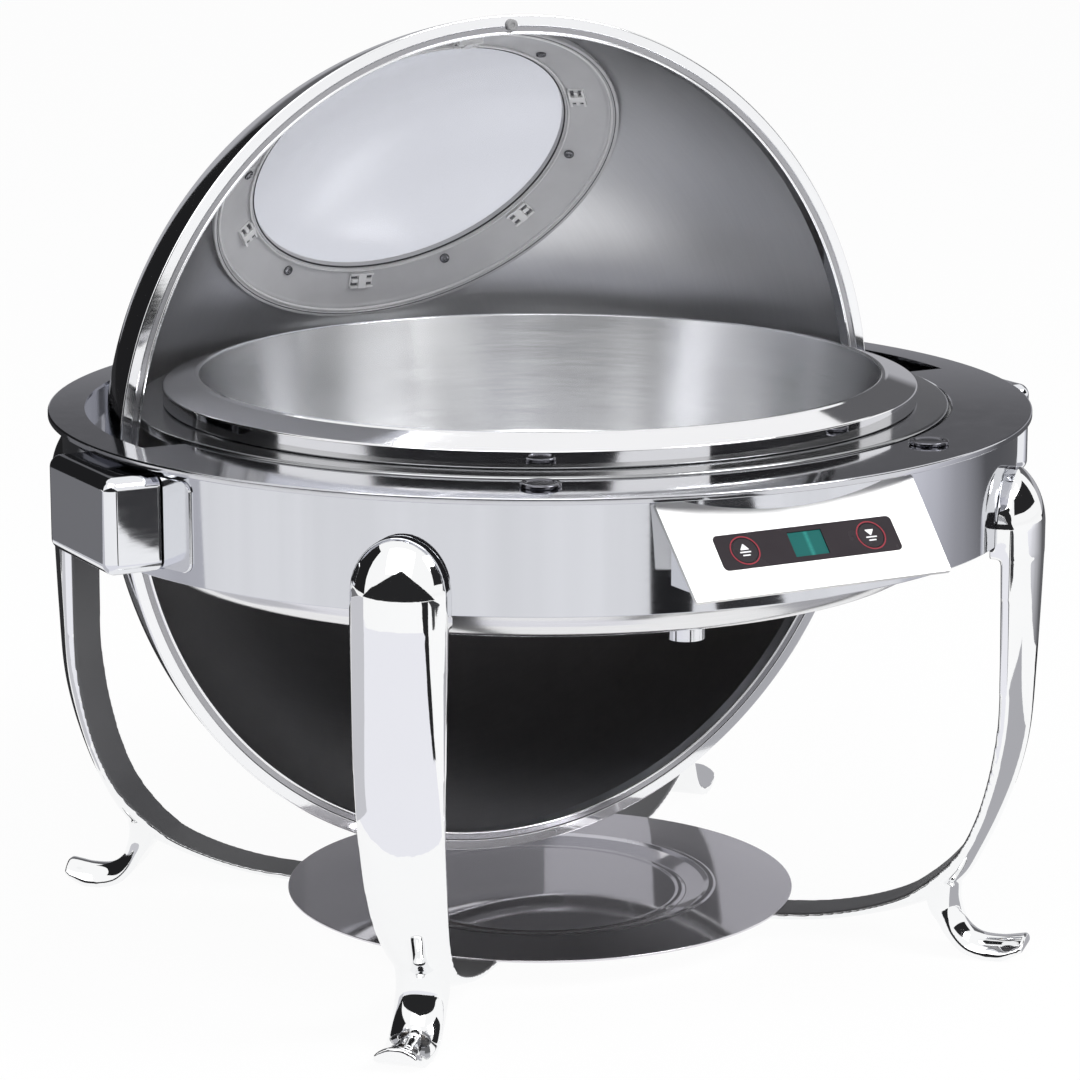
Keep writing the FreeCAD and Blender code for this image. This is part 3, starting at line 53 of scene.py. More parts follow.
# Materials
class Graph:
    """The nodes of a new material, or of a world, with short calls that add them."""

    def __init__(self, name, world=None):
        self.owner = world or bpy.data.materials.new(name)
        self.owner.use_nodes = True
        self.tree = self.owner.node_tree
        self.tree.nodes.clear()

    def add(self, kind, inputs=None, **settings):
        node = self.tree.nodes.new("ShaderNode" + kind)
        for key, value in settings.items():
            setattr(node, key, value)
        for key, value in (inputs or {}).items():
            socket = node.inputs[key]
            if isinstance(value, bpy.types.NodeSocket):
                self.tree.links.new(value, socket)
            else:
                socket.default_value = value
        return node

    def finish(self, shader, output="OutputMaterial"):
        self.add(output, {"Surface": shader})
        return self.owner

    def place(self):
        return self.add("TexCoord").outputs["Object"]

    def noise(self, vector, scale, detail, roughness=0.5):
        return self.add("TexNoise", {"Vector": vector, "Scale": scale, "Detail": detail,
                                     "Roughness": roughness}).outputs["Fac"]

    def bumps(self, height, strength):
        return self.add("Bump", {"Height": height, "Strength": strength,
                                 "Distance": BUMP_DEPTH}).outputs["Normal"]

    def spread(self, value, low, high, start=0.3, end=0.7):
        return self.add("MapRange", {"Value": value, "From Min": start, "From Max": end,
                                     "To Min": low, "To Max": high}).outputs["Result"]

    def blend(self, factor, first, second):
        mix = self.add("Mix", data_type="RGBA")
        self.tree.links.new(factor, mix.inputs[0])
        for socket, value in ((mix.inputs[6], first), (mix.inputs[7], second)):
            socket.default_value = (*value, 1)
        return mix.outputs[2]

    def either(self, share, first, second):
        """The first shader, mixed with a share of the second."""
        return self.add("MixShader", {0: share, 1: first, 2: second}).outputs[0]

    def background_rays(self):
        """1 where the eye, a gloss or glass looks at the background, and 0 for light."""
        rays = self.add("LightPath").outputs
        return self.math("MAXIMUM", self.math("MAXIMUM", rays["Is Camera Ray"], rays["Is Glossy Ray"]),
                         rays["Is Transmission Ray"])

    def math(self, operation, first, second=None):
        node = self.add("Math", operation=operation)
        for socket, value in zip(node.inputs, (first, second)):
            if isinstance(value, bpy.types.NodeSocket):
                self.tree.links.new(value, socket)
            elif value is not None:
                socket.default_value = value
        return node.outputs[0]


def lighter(colour, by):
    return tuple(min(1.0, c * by) for c in colour)


def polished(name, colour, rough=0.05, spread=0.06, haze=9.0, bump=0.02, waves=0.0, veil=0.0):
    """Polished metal: cloudy haze, fine wiping marks and, where asked for, upright bands or a satin veil."""
    g = Graph(name)
    place = g.place()
    cloud = g.noise(place, haze, 5.0, 0.55)
    stretched = g.add("Mapping", {"Vector": place, "Scale": (90, 90, 700)}).outputs["Vector"]
    wipes = g.noise(stretched, 1.0, 3.0)
    rough_value = g.math("ADD", g.spread(cloud, rough, rough + spread), g.spread(wipes, 0.0, 0.025))
    normal = g.bumps(wipes, bump)
    tone = cloud
    if waves:
        upright = g.add("Mapping", {"Vector": place, "Scale": (1, 1, 0.02)}).outputs["Vector"]
        bands = g.noise(upright, 24.0, 3.0, 0.6)
        tone = g.spread(bands, 0.0, 1.0)
    shader = g.add("BsdfPrincipled", {
        "Base Color": g.blend(tone, lighter(colour, 0.97 - waves), lighter(colour, 1.03 + waves)),
        "Metallic": 1.0, "Roughness": rough_value, "Normal": normal})
    if not veil:
        return g.finish(shader.outputs["BSDF"])
    satin = g.add("BsdfPrincipled", {"Base Color": g.blend(tone, colour, lighter(colour, 1.04)),
                                     "Metallic": 1.0, "Roughness": g.spread(tone, 0.45, 0.55)})
    return g.finish(g.either(veil, shader.outputs["BSDF"], satin.outputs["BSDF"]))


def spun(name, colour, rough=0.26, spread=0.1, centre=(0, 0, 0), tilt=(0, 0, 0), axis="Z",
         lines=1300.0, bump=0.12, anisotropic=0.75, contrast=0.05, fan=0.0):
    """Metal brushed round an axis: fine lines along the circles, and a fanned highlight."""
    g = Graph(name)
    place = g.place()
    local = g.add("Mapping", {"Vector": place, "Location": tuple(-c * MM for c in centre)},
                  vector_type="POINT").outputs["Vector"]
    if any(tilt):
        local = g.add("VectorRotate", {"Vector": local, "Rotation": tilt},
                      rotation_type="EULER_XYZ").outputs["Vector"]
    parts = g.add("SeparateXYZ", {"Vector": local}).outputs
    flat = g.add("CombineXYZ", {"X": parts["X"], "Y": parts["Y"], "Z": 0.0}).outputs["Vector"]
    reach = g.add("VectorMath", {0: flat}, operation="LENGTH").outputs["Value"]
    angle = g.math("ARCTAN2", parts["Y"], parts["X"])
    track = g.add("CombineXYZ", {"X": g.math("MULTIPLY", reach, lines), "Y": g.math("MULTIPLY", angle, 5.0),
                                 "Z": g.math("MULTIPLY", parts["Z"], lines)}).outputs["Vector"]
    fine = g.noise(track, 1.0, 4.0, 0.7)
    broad = lines / 9
    wide = g.add("CombineXYZ", {"X": g.math("MULTIPLY", reach, broad), "Y": g.math("MULTIPLY", angle, 1.3),
                                "Z": g.math("MULTIPLY", parts["Z"], broad)}).outputs["Vector"]
    bands = g.noise(wide, 1.0, 2.0)
    grain = g.math("ADD", g.math("MULTIPLY", fine, 0.7),
                   g.math("MULTIPLY", bands, 0.3))
    normal = g.bumps(fine, bump)
    shader = g.add("BsdfPrincipled", {
        "Base Color": g.blend(g.spread(grain, 0.0, 1.0), lighter(colour, 1 - contrast),
                              lighter(colour, 1 + contrast)),
        "Metallic": 1.0, "Roughness": g.spread(grain, rough, rough + spread),
        "Anisotropic": anisotropic, "Anisotropic Rotation": fan, "Normal": normal,
        "Tangent": g.add("Tangent", direction_type="RADIAL", axis=axis).outputs["Tangent"]})
    return g.finish(shader.outputs["BSDF"])


def blasted(name, colour, rough=0.42, bump=0.25):
    """Metal with a fine matt grain, as left by blasting or coarse polishing."""
    g = Graph(name)
    place = g.place()
    grain = g.noise(place, 1400.0, 3.0)
    cloud = g.noise(place, 22.0, 4.0)
    normal = g.bumps(grain, bump)
    shader = g.add("BsdfPrincipled", {
        "Base Color": g.blend(cloud, lighter(colour, 0.93), lighter(colour, 1.07)),
        "Metallic": 1.0, "Roughness": g.spread(cloud, rough, rough + 0.12),
        "Normal": normal})
    return g.finish(shader.outputs["BSDF"])


def moulded(name, colour, rough=0.3, coat=0.0, see_through=0.0, bump=0.08, shine=0.5):
    """Moulded plastic or rubber: fine grain, faint marks in its gloss."""
    g = Graph(name)
    place = g.place()
    fine = g.noise(place, 900.0, 3.0)
    cloud = g.noise(place, 60.0, 4.0)
    normal = g.bumps(fine, bump)
    shader = g.add("BsdfPrincipled", {
        "Base Color": g.blend(cloud, lighter(colour, 0.92), lighter(colour, 1.08)),
        "Roughness": g.spread(cloud, rough, rough + 0.08),
        "Coat Weight": coat, "Coat Roughness": 0.05, "Transmission Weight": see_through,
        "IOR": 1.47, "Specular IOR Level": shine, "Normal": normal})
    return g.finish(shader.outputs["BSDF"])


def clear_glass(name, colour, rough=0.10):
    """Tempered glass: pale tint, with faint dust and drying marks that scatter a little light."""
    g = Graph(name)
    place = g.place()
    cloud = g.noise(place, 11.0, 6.0, 0.6)
    shader = g.add("BsdfPrincipled", {
        "Base Color": g.blend(cloud, lighter(colour, 0.98), lighter(colour, 1.02)),
        "Roughness": g.spread(cloud, rough, rough + 0.05),
        "Transmission Weight": 0.9, "IOR": 1.45})
    return g.finish(shader.outputs["BSDF"])


STEEL = (0.80, 0.81, 0.835)
steel = polished("polished_steel", STEEL)
skirt_steel = polished("skirt_steel", (0.65, 0.66, 0.70), rough=0.03, spread=0.03, haze=14.0, bump=0.004,
                       waves=0.04)
plate_steel = polished("plate_steel", (0.62, 0.625, 0.66), rough=0.04, spread=0.04, bump=0.006)
bright_steel = polished("bright_steel", (0.90, 0.905, 0.92), rough=0.03, spread=0.04, bump=0.012)
housing_steel = polished("housing_steel", (0.80, 0.81, 0.84), rough=0.015, spread=0.02, bump=0.005)
pan_steel = spun("spun_pan_steel", (0.74, 0.745, 0.76), rough=0.22, spread=0.05, lines=900.0, bump=0.004,
                 anisotropic=0.9, contrast=0.03, fan=0.25)
# Dark steel on the faces of the rim trim's groove: painted shade in the groove.
groove_shade_steel = polished("trim_groove_painted_shade", (0.40, 0.40, 0.42), rough=0.16, spread=0.06)
roll_steel = polished("rolled_edge_steel", (0.88, 0.88, 0.895), rough=0.03, spread=0.03, bump=0.006)
# Steel darkened well below real steel for the rest ring under the food pan's rim: painted shade between the
# parts.
ring_shade_steel = polished("rest_ring_painted_shade", (0.36, 0.365, 0.375), rough=0.12, spread=0.06, bump=0.01)
water_steel = spun("spun_water_pan_steel", (0.80, 0.80, 0.81), rough=0.14, spread=0.08, bump=0.05)
tray_steel = polished("tray_steel", (0.78, 0.765, 0.80), rough=0.03, spread=0.03, bump=0.006, veil=0.25)
dome_outside = polished("dome_outside", STEEL, rough=0.04, spread=0.05)
dome_inside = spun("dome_inside", (0.66, 0.66, 0.67), rough=0.30, spread=0.06, centre=(0, 0, PIVOT),
                   tilt=(math.radians(90), 0, 0), axis="Y", lines=500.0, bump=0.05,
                   anisotropic=0.45, contrast=0.03)
panel_steel = blasted("panel_steel", (0.74, 0.74, 0.735), rough=0.34, bump=0.10)
fastener_steel = polished("fastener_steel", (0.62, 0.62, 0.64), rough=0.16, spread=0.1, haze=300.0)
pad_steel = polished("pad_steel", (0.17, 0.17, 0.19), rough=0.10, haze=120.0)
dark_screw = polished("dark_screw", (0.16, 0.16, 0.17), rough=0.2, haze=400.0)
hidden_steel = blasted("hidden_steel", (0.50, 0.50, 0.51))
brass = polished("bearing_brass", (0.75, 0.56, 0.27), rough=0.2, haze=200.0)
glass = clear_glass("window_glass", (0.77, 0.785, 0.85))
clear_plastic = moulded("clear_plastic", (0.80, 0.80, 0.82), rough=0.14, see_through=0.25, bump=0.03)
lip_plastic = moulded("lip_plastic", (0.93, 0.93, 0.95), rough=0.05, see_through=0.15, coat=0.6, bump=0.01)
clip_plastic = moulded("clip_plastic", (0.95, 0.95, 0.96), rough=0.05, see_through=0.1, coat=0.8)
# Near-black plastic as painted shade: boxes in the clip slots, and a ring in the window ring's edge groove.
clip_shade = moulded("clip_slot_shade", (0.12, 0.12, 0.13), rough=0.2)
rubber = moulded("seal_rubber", (0.035, 0.035, 0.038), rough=0.55)
bumper_grey = moulded("bumper_grey", (0.26, 0.26, 0.265), rough=0.35)
display_black = moulded("display_black", (0.026, 0.021, 0.025), rough=0.22, bump=0.01, shine=0.12)
button_black = moulded("button_black", (0.028, 0.023, 0.027), rough=0.25, bump=0.02, shine=0.12)
ring_red = moulded("ring_red", (0.27, 0.025, 0.04), rough=0.35, shine=0.2)
icon_white = moulded("icon_white", (0.78, 0.78, 0.80), rough=0.4)
drive_black = moulded("drive_black", (0.03, 0.03, 0.032), rough=0.45, bump=0.2)
board_green = moulded("board_green", (0.03, 0.16, 0.06), rough=0.5)


def screen_material():
    """Liquid crystal screen: teal, with a paler streak of backlight down the middle."""
    g = Graph("screen_teal")
    place = g.place()
    parts = g.add("SeparateXYZ", {"Vector": place}).outputs
    across = g.math("ABSOLUTE", g.math("SUBTRACT", g.math("MULTIPLY", parts["X"], 1000.0), 0.6))
    streak = g.spread(across, 1.0, 0.0, 0.0, 1.6)
    cells = g.noise(place, 2500.0, 2.0)
    lit = g.math("MULTIPLY", streak, cells)
    colour = g.blend(lit, (0.008, 0.105, 0.098), (0.04, 0.33, 0.29))
    shader = g.add("BsdfPrincipled", {"Base Color": colour, "Roughness": 0.25, "Specular IOR Level": 0.12})
    return g.finish(shader.outputs["BSDF"])


def painted_shade_under_steel():
    """Water pan's bottom with painted light and shade: brown-grey on one side, nearly black on the other,
    with random blotches.
    """
    g = Graph("painted_shade_under_steel")
    place = g.place()
    along = g.add("SeparateXYZ", {"Vector": place}).outputs["X"]
    blotches = g.noise(place, 14.0, 4.0)
    # Painted light and shade: lighter towards negative X, darker towards positive X, with random blotches on
    # top.
    share = g.math("ADD", g.spread(along, 0.0, 0.8, -0.14, 0.02), g.spread(blotches, -0.1, 0.2))
    shader = g.add("BsdfPrincipled", {
        "Base Color": g.blend(share, (0.36, 0.325, 0.30), (0.04, 0.044, 0.052)),
        "Metallic": 1.0, "Roughness": g.spread(blotches, 0.32, 0.45)})
    return g.finish(shader.outputs["BSDF"])


screen_teal = screen_material()
pan_under = painted_shade_under_steel()


# Meshes
def new_object(name, data):
    piece = bpy.data.objects.new(name, data)
    bpy.context.scene.collection.objects.link(piece)
    return piece


def as_piece(name, shape, materials, body, replaced=(), slot=None, sharp=32.0, weighted=True):
    """Object in m from a mesh or bmesh in mm. It rides on a body and stands for the CAD nodes it replaces."""
    mesh = finished_mesh(name, shape) if isinstance(shape, bmesh.types.BMesh) else shape
    for vertex in mesh.vertices:
        vertex.co *= MM
    for material in materials if isinstance(materials, (list, tuple)) else [materials]:
        mesh.materials.append(material)
    mesh.shade_smooth()
    mesh.set_sharp_from_angle(angle=math.radians(sharp))
    piece = new_object(name, mesh)
    if weighted:
        modifier = piece.modifiers.new("normals", "WEIGHTED_NORMAL")
        modifier.keep_sharp = True
        modifier.weight = 80
    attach(piece, body)
    if replaced:
        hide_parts(*replaced)
    return piece


def finished_mesh(name, bm):
    bmesh.ops.remove_doubles(bm, verts=bm.verts, dist=0.002)
    bmesh.ops.recalc_face_normals(bm, faces=bm.faces)
    mesh = bpy.data.meshes.new(name)
    bm.to_mesh(mesh)
    bm.free()
    return mesh


def rounded(corners, steps=6):
    """Closed outline from corners (x, y) or (x, y, radius), with each radius as a row of points."""
    out = []
    count = len(corners)
    for i, corner in enumerate(corners):
        p = Vector(corner[:2])
        if len(corner) < 3:
            out.append(p)
            continue
        a = Vector(corners[i - 1][:2]) - p
        b = Vector(corners[(i + 1) % count][:2]) - p
        half = a.angle(b) / 2
        reach = min(corner[2] / math.tan(half), 0.48 * min(a.length, b.length))
        start, end = p + a.normalized() * reach, p + b.normalized() * reach
        centre = p + (a.normalized() + b.normalized()).normalized() * (reach / math.cos(half))
        first = start - centre
        turn = first.angle_signed(end - centre)
        for step in range(steps + 1):
            angle = -turn * step / steps
            c, s = math.cos(angle), math.sin(angle)
            out.append(centre + Vector((c * first.x - s * first.y, s * first.x + c * first.y)))
    return out


def add_turned(bm, outline, turn=None, segments=256):
    """Adds the solid that a closed outline of (radius, height) makes when turned about its axis."""
    rings = []
    for x, y in outline:
        if abs(x) < 1e-6:
            rings.append([bm.verts.new((0, 0, y))])
        else:
            rings.append([bm.verts.new((x * math.cos(math.tau * k / segments),
                                        x * math.sin(math.tau * k / segments), y))
                          for k in range(segments)])
    made = [v for ring in rings for v in ring]
    for i, ring in enumerate(rings):
        other = rings[(i + 1) % len(rings)]
        for k in range(segments):
            corners = [ring[k % len(ring)], ring[(k + 1) % len(ring)],
                       other[(k + 1) % len(other)], other[k % len(other)]]
            unique = list(dict.fromkeys(corners))
            if len(unique) > 2:
                bm.faces.new(unique)
    if turn is not None:
        bmesh.ops.transform(bm, matrix=turn, verts=made)
    return made


def turned(name, outline, materials, body, replaced=(), slot=None, turn=None, segments=256, split=None,
           **more):
    """Turned piece. Where a second material is given, it is on the faces between the two radii of split."""
    bm = bmesh.new()
    add_turned(bm, outline, turn, segments)
    mesh = finished_mesh(name, bm)
    if split:
        back = turn.inverted() if turn is not None else Matrix()
        for face in mesh.polygons:
            if split[0] < (back @ face.center).to_2d().length < split[1]:
                face.material_index = 1
    return as_piece(name, mesh, materials, body, replaced, slot, **more)


LID_TURN = Matrix.Translation((0, 0, PIVOT)) @ Matrix.Rotation(math.radians(-90), 4, "X")


def window_turn(angle=0.0, lean=0.0):
    return (Matrix.Translation((0, 0, PIVOT)) @ Matrix.Rotation(math.radians(WINDOW_TILT - 90), 4, "X")
            @ Matrix.Rotation(math.radians(angle), 4, "Z") @ Matrix.Rotation(math.radians(lean), 4, "Y"))


def rise(radius, reach):
    return math.sqrt(radius * radius - reach * reach)


# Ring body
turned("dressed_skirt", rounded([(241.5, SKIRT_LOW, 0.5), (SKIRT_OUT, SKIRT_LOW, 0.5),
                                 (SKIRT_OUT, PLATE_UNDER), (241.5, PLATE_UNDER)], 3),
       skirt_steel, "frame", ["skirt"], "polished_steel", segments=384)


def make_plate():
    bm = bmesh.new()
    inner, slot = 209.5, 231.5                  # radii of the plate's front half, and of the lid's slot
    add_turned(bm, rounded([(slot, PLATE_UNDER), (248.5, PLATE_UNDER), (248.5, 269.7), (250, 269.7, 0.4),
                            (250, PLATE_TOP, 0.9), (slot, PLATE_TOP)], 5), segments=384)
    rows = []
    steps = 192
    edge = 0.35
    pivot_gap = 25                              # from the side-to-side axis to the front half's end
    for radius, level in ((inner, PLATE_UNDER), (inner, PLATE_TOP - edge), (inner + edge, PLATE_TOP),
                          (slot, PLATE_TOP), (slot, PLATE_UNDER)):
        start = math.asin(pivot_gap / radius)
        row = []
        for k in range(steps + 1):
            angle = math.pi + start + (math.pi - 2 * start) * k / steps
            row.append(bm.verts.new((radius * math.cos(angle), radius * math.sin(angle), level)))
        rows.append(row)
    for i in range(len(rows)):
        one, two = rows[i], rows[(i + 1) % len(rows)]
        for k in range(steps):
            bm.faces.new([one[k], one[k + 1], two[k + 1], two[k]])
    for k in (0, steps):
        bm.faces.new([row[k] for row in rows])
    return as_piece("dressed_top_plate", bm, plate_steel, "frame", ["top_plate"], "polished_steel")


make_plate()
turned("dressed_water_pan", rounded([
    (0, 195), (202.5, 195, 10), (202.5, 269.8, 0.6), (208, 269.8), (208, 271, 0.5), (201.3, 271, 0.8),
    (201.3, 196.2, 8.8), (0, 196.2)], 8), [water_steel, pan_under], "frame", ["water_pan"],
       "polished_steel", split=(-1.0, 192.0))
# The rest ring's steel is darkened as painted shade under the pan's rim.
turned("dressed_rest_ring", rounded([
    (180, 262, 0.3), (181.5, 262, 0.3), (181.5, 272.8, 1.5), (206.5, 272.8), (206.5, 271), (208, 271),
    (208, 274.3, 1.4), (180, 274.3, 2.4)], 5), ring_shade_steel, "frame", ["pan_rest_ring"], "polished_steel")
turned("dressed_food_pan", rounded([
    (0, 221), (166.2, 221, 5), (174.3, 286.6, 0.8), (190.7, 281.5, 0.8), (190.7, 274.6), (191.4, 274.6, 0.3),
    (192, 275.2, 0.5), (192, 283.2, 1.1), (177.0, 288.1, 3), (175.6, 288.9, 1.4), (173.4, 288.9, 1.1),
    (165, 222.4, 4), (0, 222.2)], 8),
       [pan_steel, roll_steel], "food_pan", ["food_pan"], "satin_steel", segments=320,
       split=(173.9, 1e3))


def make_pads():
    bm = bmesh.new()
    for degrees in (28.5, -28.5):
        azimuth = math.radians(degrees)
        at = Matrix.Translation((223 * math.sin(azimuth), -223 * math.cos(azimuth), 0))
        add_turned(bm, rounded([(0, 270.4), (3, 270.4), (3, 273), (9.2, 273), (9.75, 273.4), (9.75, 275, 1.1),
                                (7.6, 275, 0.5), (7.0, 274.4, 0.4), (0, 274.2)], 5), at, 64)
    return as_piece("dressed_pads", bm, pad_steel, "frame", ["lid_rest_pads"], "pad_steel")


make_pads()


# Lid
def make_dome():
    """Part sphere from the window's edge to the rim plane, laid out round the window's axis."""
    bm = bmesh.new()
    tilt = math.radians(WINDOW_TILT)
    axis = Vector((0, math.cos(tilt), math.sin(tilt)))
    side = Vector((1, 0, 0))
    up = side.cross(axis)
    count, rows = 320, 72
    grids = []
    for radius in (LID_OUT, LID_IN):
        grid = []
        for k in range(count):
            phi = math.tau * k / count
            flat = side * math.cos(phi) + up * math.sin(phi)
            first = math.asin(WINDOW_HOLE / radius)
            a, b = axis.y, flat.y
            last = math.atan2(b, a) + math.acos(RIM_PLANE / radius / math.hypot(a, b))
            column = []
            for j in range(rows + 1):
                theta = first + (last - first) * j / rows
                point = (axis * math.cos(theta) + flat * math.sin(theta)) * radius
                column.append(bm.verts.new(point + Vector((0, 0, PIVOT))))
            grid.append(column)
        grids.append(grid)
    outside, inside = grids
    for k in range(count):
        n = (k + 1) % count
        for j in range(rows):
            bm.faces.new([outside[k][j], outside[n][j], outside[n][j + 1], outside[k][j + 1]])
            face = bm.faces.new([inside[k][j], inside[k][j + 1], inside[n][j + 1], inside[n][j]])
            face.material_index = 1
        for j in (0, rows):
            bm.faces.new([outside[k][j], outside[n][j], inside[n][j], inside[k][j]])
    return as_piece("dressed_dome", bm, [dome_outside, dome_inside], "lid",
                    ["lid_dome"], "lid_steel", weighted=False)


make_dome()
# The faces of the trim's groove get the dark groove steel: painted shade.
turned("dressed_rim", rounded([
    (209.6, 30.5, 1.6), (210.9, 30.5, 0.4), (211.2, 30.9, 0.3), (213.7, 30.9, 0.3), (214.3, 30.5, 0.5),
    (219.9, 30.5, 1.8), (219.7, 32.2, 0.5), (211, 31.8, 1.4), (210.8, 37.8), (216.1, 37.8), (215.8, 39),
    (209.6, 39, 0.4)], 6),
       [bright_steel, groove_shade_steel], "lid", ["lid_rim_trim"], "polished_steel", LID_TURN, segments=384,
       split=(211.1, 214.0))


def make_bumper():
    bm = bmesh.new()
    at = Matrix.Translation((0, 0, 214.7)) @ LID_TURN
    add_turned(bm, rounded([(0, 29.2), (1.0, 29.2, 0.2), (1.3, 28.7, 0.2), (3, 28.5, 0.7), (3, 30.5),
                            (1.5, 30.5), (1.5, 31.7), (0, 31.7)], 4), at, 40)
    return as_piece("dressed_bumper", bm, bumper_grey, "lid", ["lid_bumper"], "seal_rubber")


make_bumper()

GLASS_IN, GLASS_OUT, FRAME_IN = 219.0, 222.0, 216.4
RING_FACE = 0.9             # out from FRAME_IN, where the lips, clips and screws start
arc = [91.5 * k / 20 for k in range(21)]
turned("dressed_glass", [Vector((r, rise(GLASS_IN, r))) for r in arc]
       + [Vector((r, rise(GLASS_OUT, r))) for r in reversed(arc)],
       glass, "lid", ["window_glass"], "window_glass", window_turn(), segments=192)
turned("dressed_seal", [Vector((r, rise(GLASS_IN, r) - lift)) for r, lift in
                        ((91.0, 0.0), (91.3, 0.35), (92.0, 0.5), (92.8, 0.45), (94, 0.0))]
       + [Vector((r, rise(GLASS_OUT, r) + lift)) for r, lift in
          ((94, 0.0), (93.2, 0.0), (92.2, 0.0), (91.0, 0.0))],
       rubber, "lid", ["window_seal"], "seal_rubber", window_turn(), segments=192)


def make_window_ring():
    """Clear ring with a raised lip along each edge."""
    inner = []
    for r, lift in ((88.0, 0.9), (88.3, 0.2), (89.0, 0.0), (89.8, 0.2), (90.3, 0.9), (91.2, 1.1), (92.2, 1.1),
                    (98, 1.0), (104, 1.0), (108.6, 1.0), (109.4, 0.5), (110.2, 0.35), (110.9, 0.6),
                    (111.5, 1.0), (112.0, 0.6), (112.8, 0.0), (113.9, 0.0), (114.7, 0.4), (115.0, 1.0)):
        inner.append(Vector((r, rise(FRAME_IN, r) + lift)))
    outer = [Vector((r, rise(sphere, r) - gap)) for sphere, r, gap in (
        (LID_IN, 115, 0.15), (LID_IN, 106, 0.15), (LID_IN, 94, 0.15), (GLASS_IN, 94, 0.6),
        (GLASS_IN, 91, 0.6), (GLASS_IN, 88, 0.15))]
    return turned("dressed_window_ring", inner + outer, clear_plastic, "lid", ["window_frame"],
                  "clear_plastic", window_turn(), segments=256)


make_window_ring()
# The edge lip is a near-black ring in the groove at the window ring's outer edge: painted shade.
for name, radius, high, wide, material in (("inner", 90.6, 1.7, 0.55, lip_plastic),
                                           ("outer", 111.4, 1.5, 0.6, lip_plastic),
                                           ("glass", 88.6, 1.3, 0.35, rubber),
                                           ("edge", 113.2, 1.1, 0.3, clip_shade)):
    base = rise(FRAME_IN, radius) + RING_FACE
    turned("dressed_lip_" + name, rounded([
        (radius - wide, base, 0.1), (radius - wide, base - high, 0.3), (radius + wide, base - high, 0.3),
        (radius + wide, base, 0.1)], 3), material, "lid", (), "clear_plastic", window_turn(), segments=256)
FIXING_LEAN = math.degrees(math.asin(97 / GLASS_IN))


def add_box(bm, low, high, matrix, bevel=0.35):
    made = bmesh.ops.create_cube(bm, size=1.0)["verts"]
    for v in made:
        v.co = Vector([l + (h - l) * (c + 0.5) for c, l, h in zip(v.co, low, high)])
    edges = list({e for v in made for e in v.link_edges})
    bevelled = bmesh.ops.bevel(bm, geom=edges, offset=bevel, segments=2, profile=0.5, affect="EDGES")
    touched = {v for f in bevelled["faces"] for v in f.verts}
    for v in touched:
        v.co = matrix @ v.co


def make_clips():
    """Six snap clips: a plate with two arms and a bridge over a slot, with near-black boxes in the slot as
    painted shade.
    """
    light, dark = bmesh.new(), bmesh.new()
    base = FRAME_IN + RING_FACE
    for number in range(6):
        at = window_turn(30 + 60 * number, FIXING_LEAN)
        add_box(light, (-4.6, -7.0, base - 1.0), (4.6, 7.0, base), at)
        for low in (-4.4, 3.0):
            add_box(light, (low, -7.0, base - 2.8), (low + 1.4, 7.0, base - 0.6), at)
        add_box(light, (-4.4, -2.4, base - 3.2), (4.4, 2.4, base - 1.7), at)
        add_box(light, (-1.1, -6.0, base - 2.6), (1.1, 6.0, base - 0.8), at)
        # Near-black boxes in the slot: painted shade.
        for low in (-2.9, 1.3):
            add_box(dark, (low, -6.2, base - 1.5), (low + 1.6, -2.6, base - 0.7), at, 0.1)
            add_box(dark, (low, 2.6, base - 1.5), (low + 1.6, 6.2, base - 0.7), at, 0.1)
    as_piece("dressed_clip_slots", dark, clip_shade, "lid", slot="clear_plastic")
    return as_piece("dressed_clips", light, clip_plastic, "lid", ["window_clips"], "clear_plastic")


def make_window_screws():
    bm = bmesh.new()
    seat = FRAME_IN + RING_FACE
    for number in range(6):
        add_turned(bm, rounded([
            (0, seat - 0.6), (0.8, seat - 0.7, 0.2), (1.3, seat - 1.5, 0.2), (2.7, seat - 1.2, 0.6),
            (2.75, seat), (1.5, seat), (1.5, 221.6), (0, 221.6)], 4),
            window_turn(60 * number, FIXING_LEAN), 32)
    return as_piece("dressed_window_screws", bm, dark_screw, "lid", ["window_screws"], "fastener_steel")


make_clips()
make_window_screws()


# Side housings and their saddles
SADDLE_IN, SADDLE_EDGE, SADDLE_OUT = 243.2, 244.2, 244.5
HOUSING_SEAT = 245.3        # radius at which a housing ends


def make_saddle(name, sign, back, node):
    bm = bmesh.new()
    front, behind, low, high, corner = -80.3, back + 15.0, 222.0, 266.0, 5.0
    ys = [front + corner * (1 - math.cos(math.radians(a))) for a in range(0, 91, 10)]
    ys += [front + corner + (behind - front - 2 * corner) * k / 40 for k in range(1, 40)]
    ys += [behind - corner * (1 - math.cos(math.radians(a))) for a in range(90, -1, -10)]
    rows = []
    for y in ys:
        inset = max(0.0, corner - min(y - front, behind - y))
        cut = corner - math.sqrt(max(0.0, corner * corner - inset * inset))
        row = []
        for radius, z in ((SADDLE_IN, low + cut), (SADDLE_EDGE, low + cut), (SADDLE_OUT, low + cut + 0.3),
                          (SADDLE_OUT, 244), (SADDLE_OUT, high - cut - 0.3), (SADDLE_EDGE, high - cut),
                          (SADDLE_IN, high - cut)):
            row.append(bm.verts.new((sign * math.sqrt(radius * radius - y * y), y, z)))
        rows.append(row)
    for one, two in zip(rows, rows[1:]):
        for k in range(len(one)):
            n = (k + 1) % len(one)
            bm.faces.new([one[k], two[k], two[n], one[n]])
    bm.faces.new(rows[0])
    bm.faces.new(rows[-1])
    return as_piece(name, bm, steel, "frame", [node], "polished_steel")


def spaced(low, high, radius, steps=7, spacing=6.0):
    """Coordinates across a rounded box, close together in its two rounded edges."""
    edge = [radius * math.tan(math.radians(45 * k / steps)) for k in range(steps, 0, -1)]
    inside = max(2, int((high - low - 2 * radius) / spacing))
    middle = [low + radius + (high - low - 2 * radius) * k / inside for k in range(inside + 1)]
    return [low + radius - e for e in edge] + middle + [high - radius + e for e in reversed(edge)]


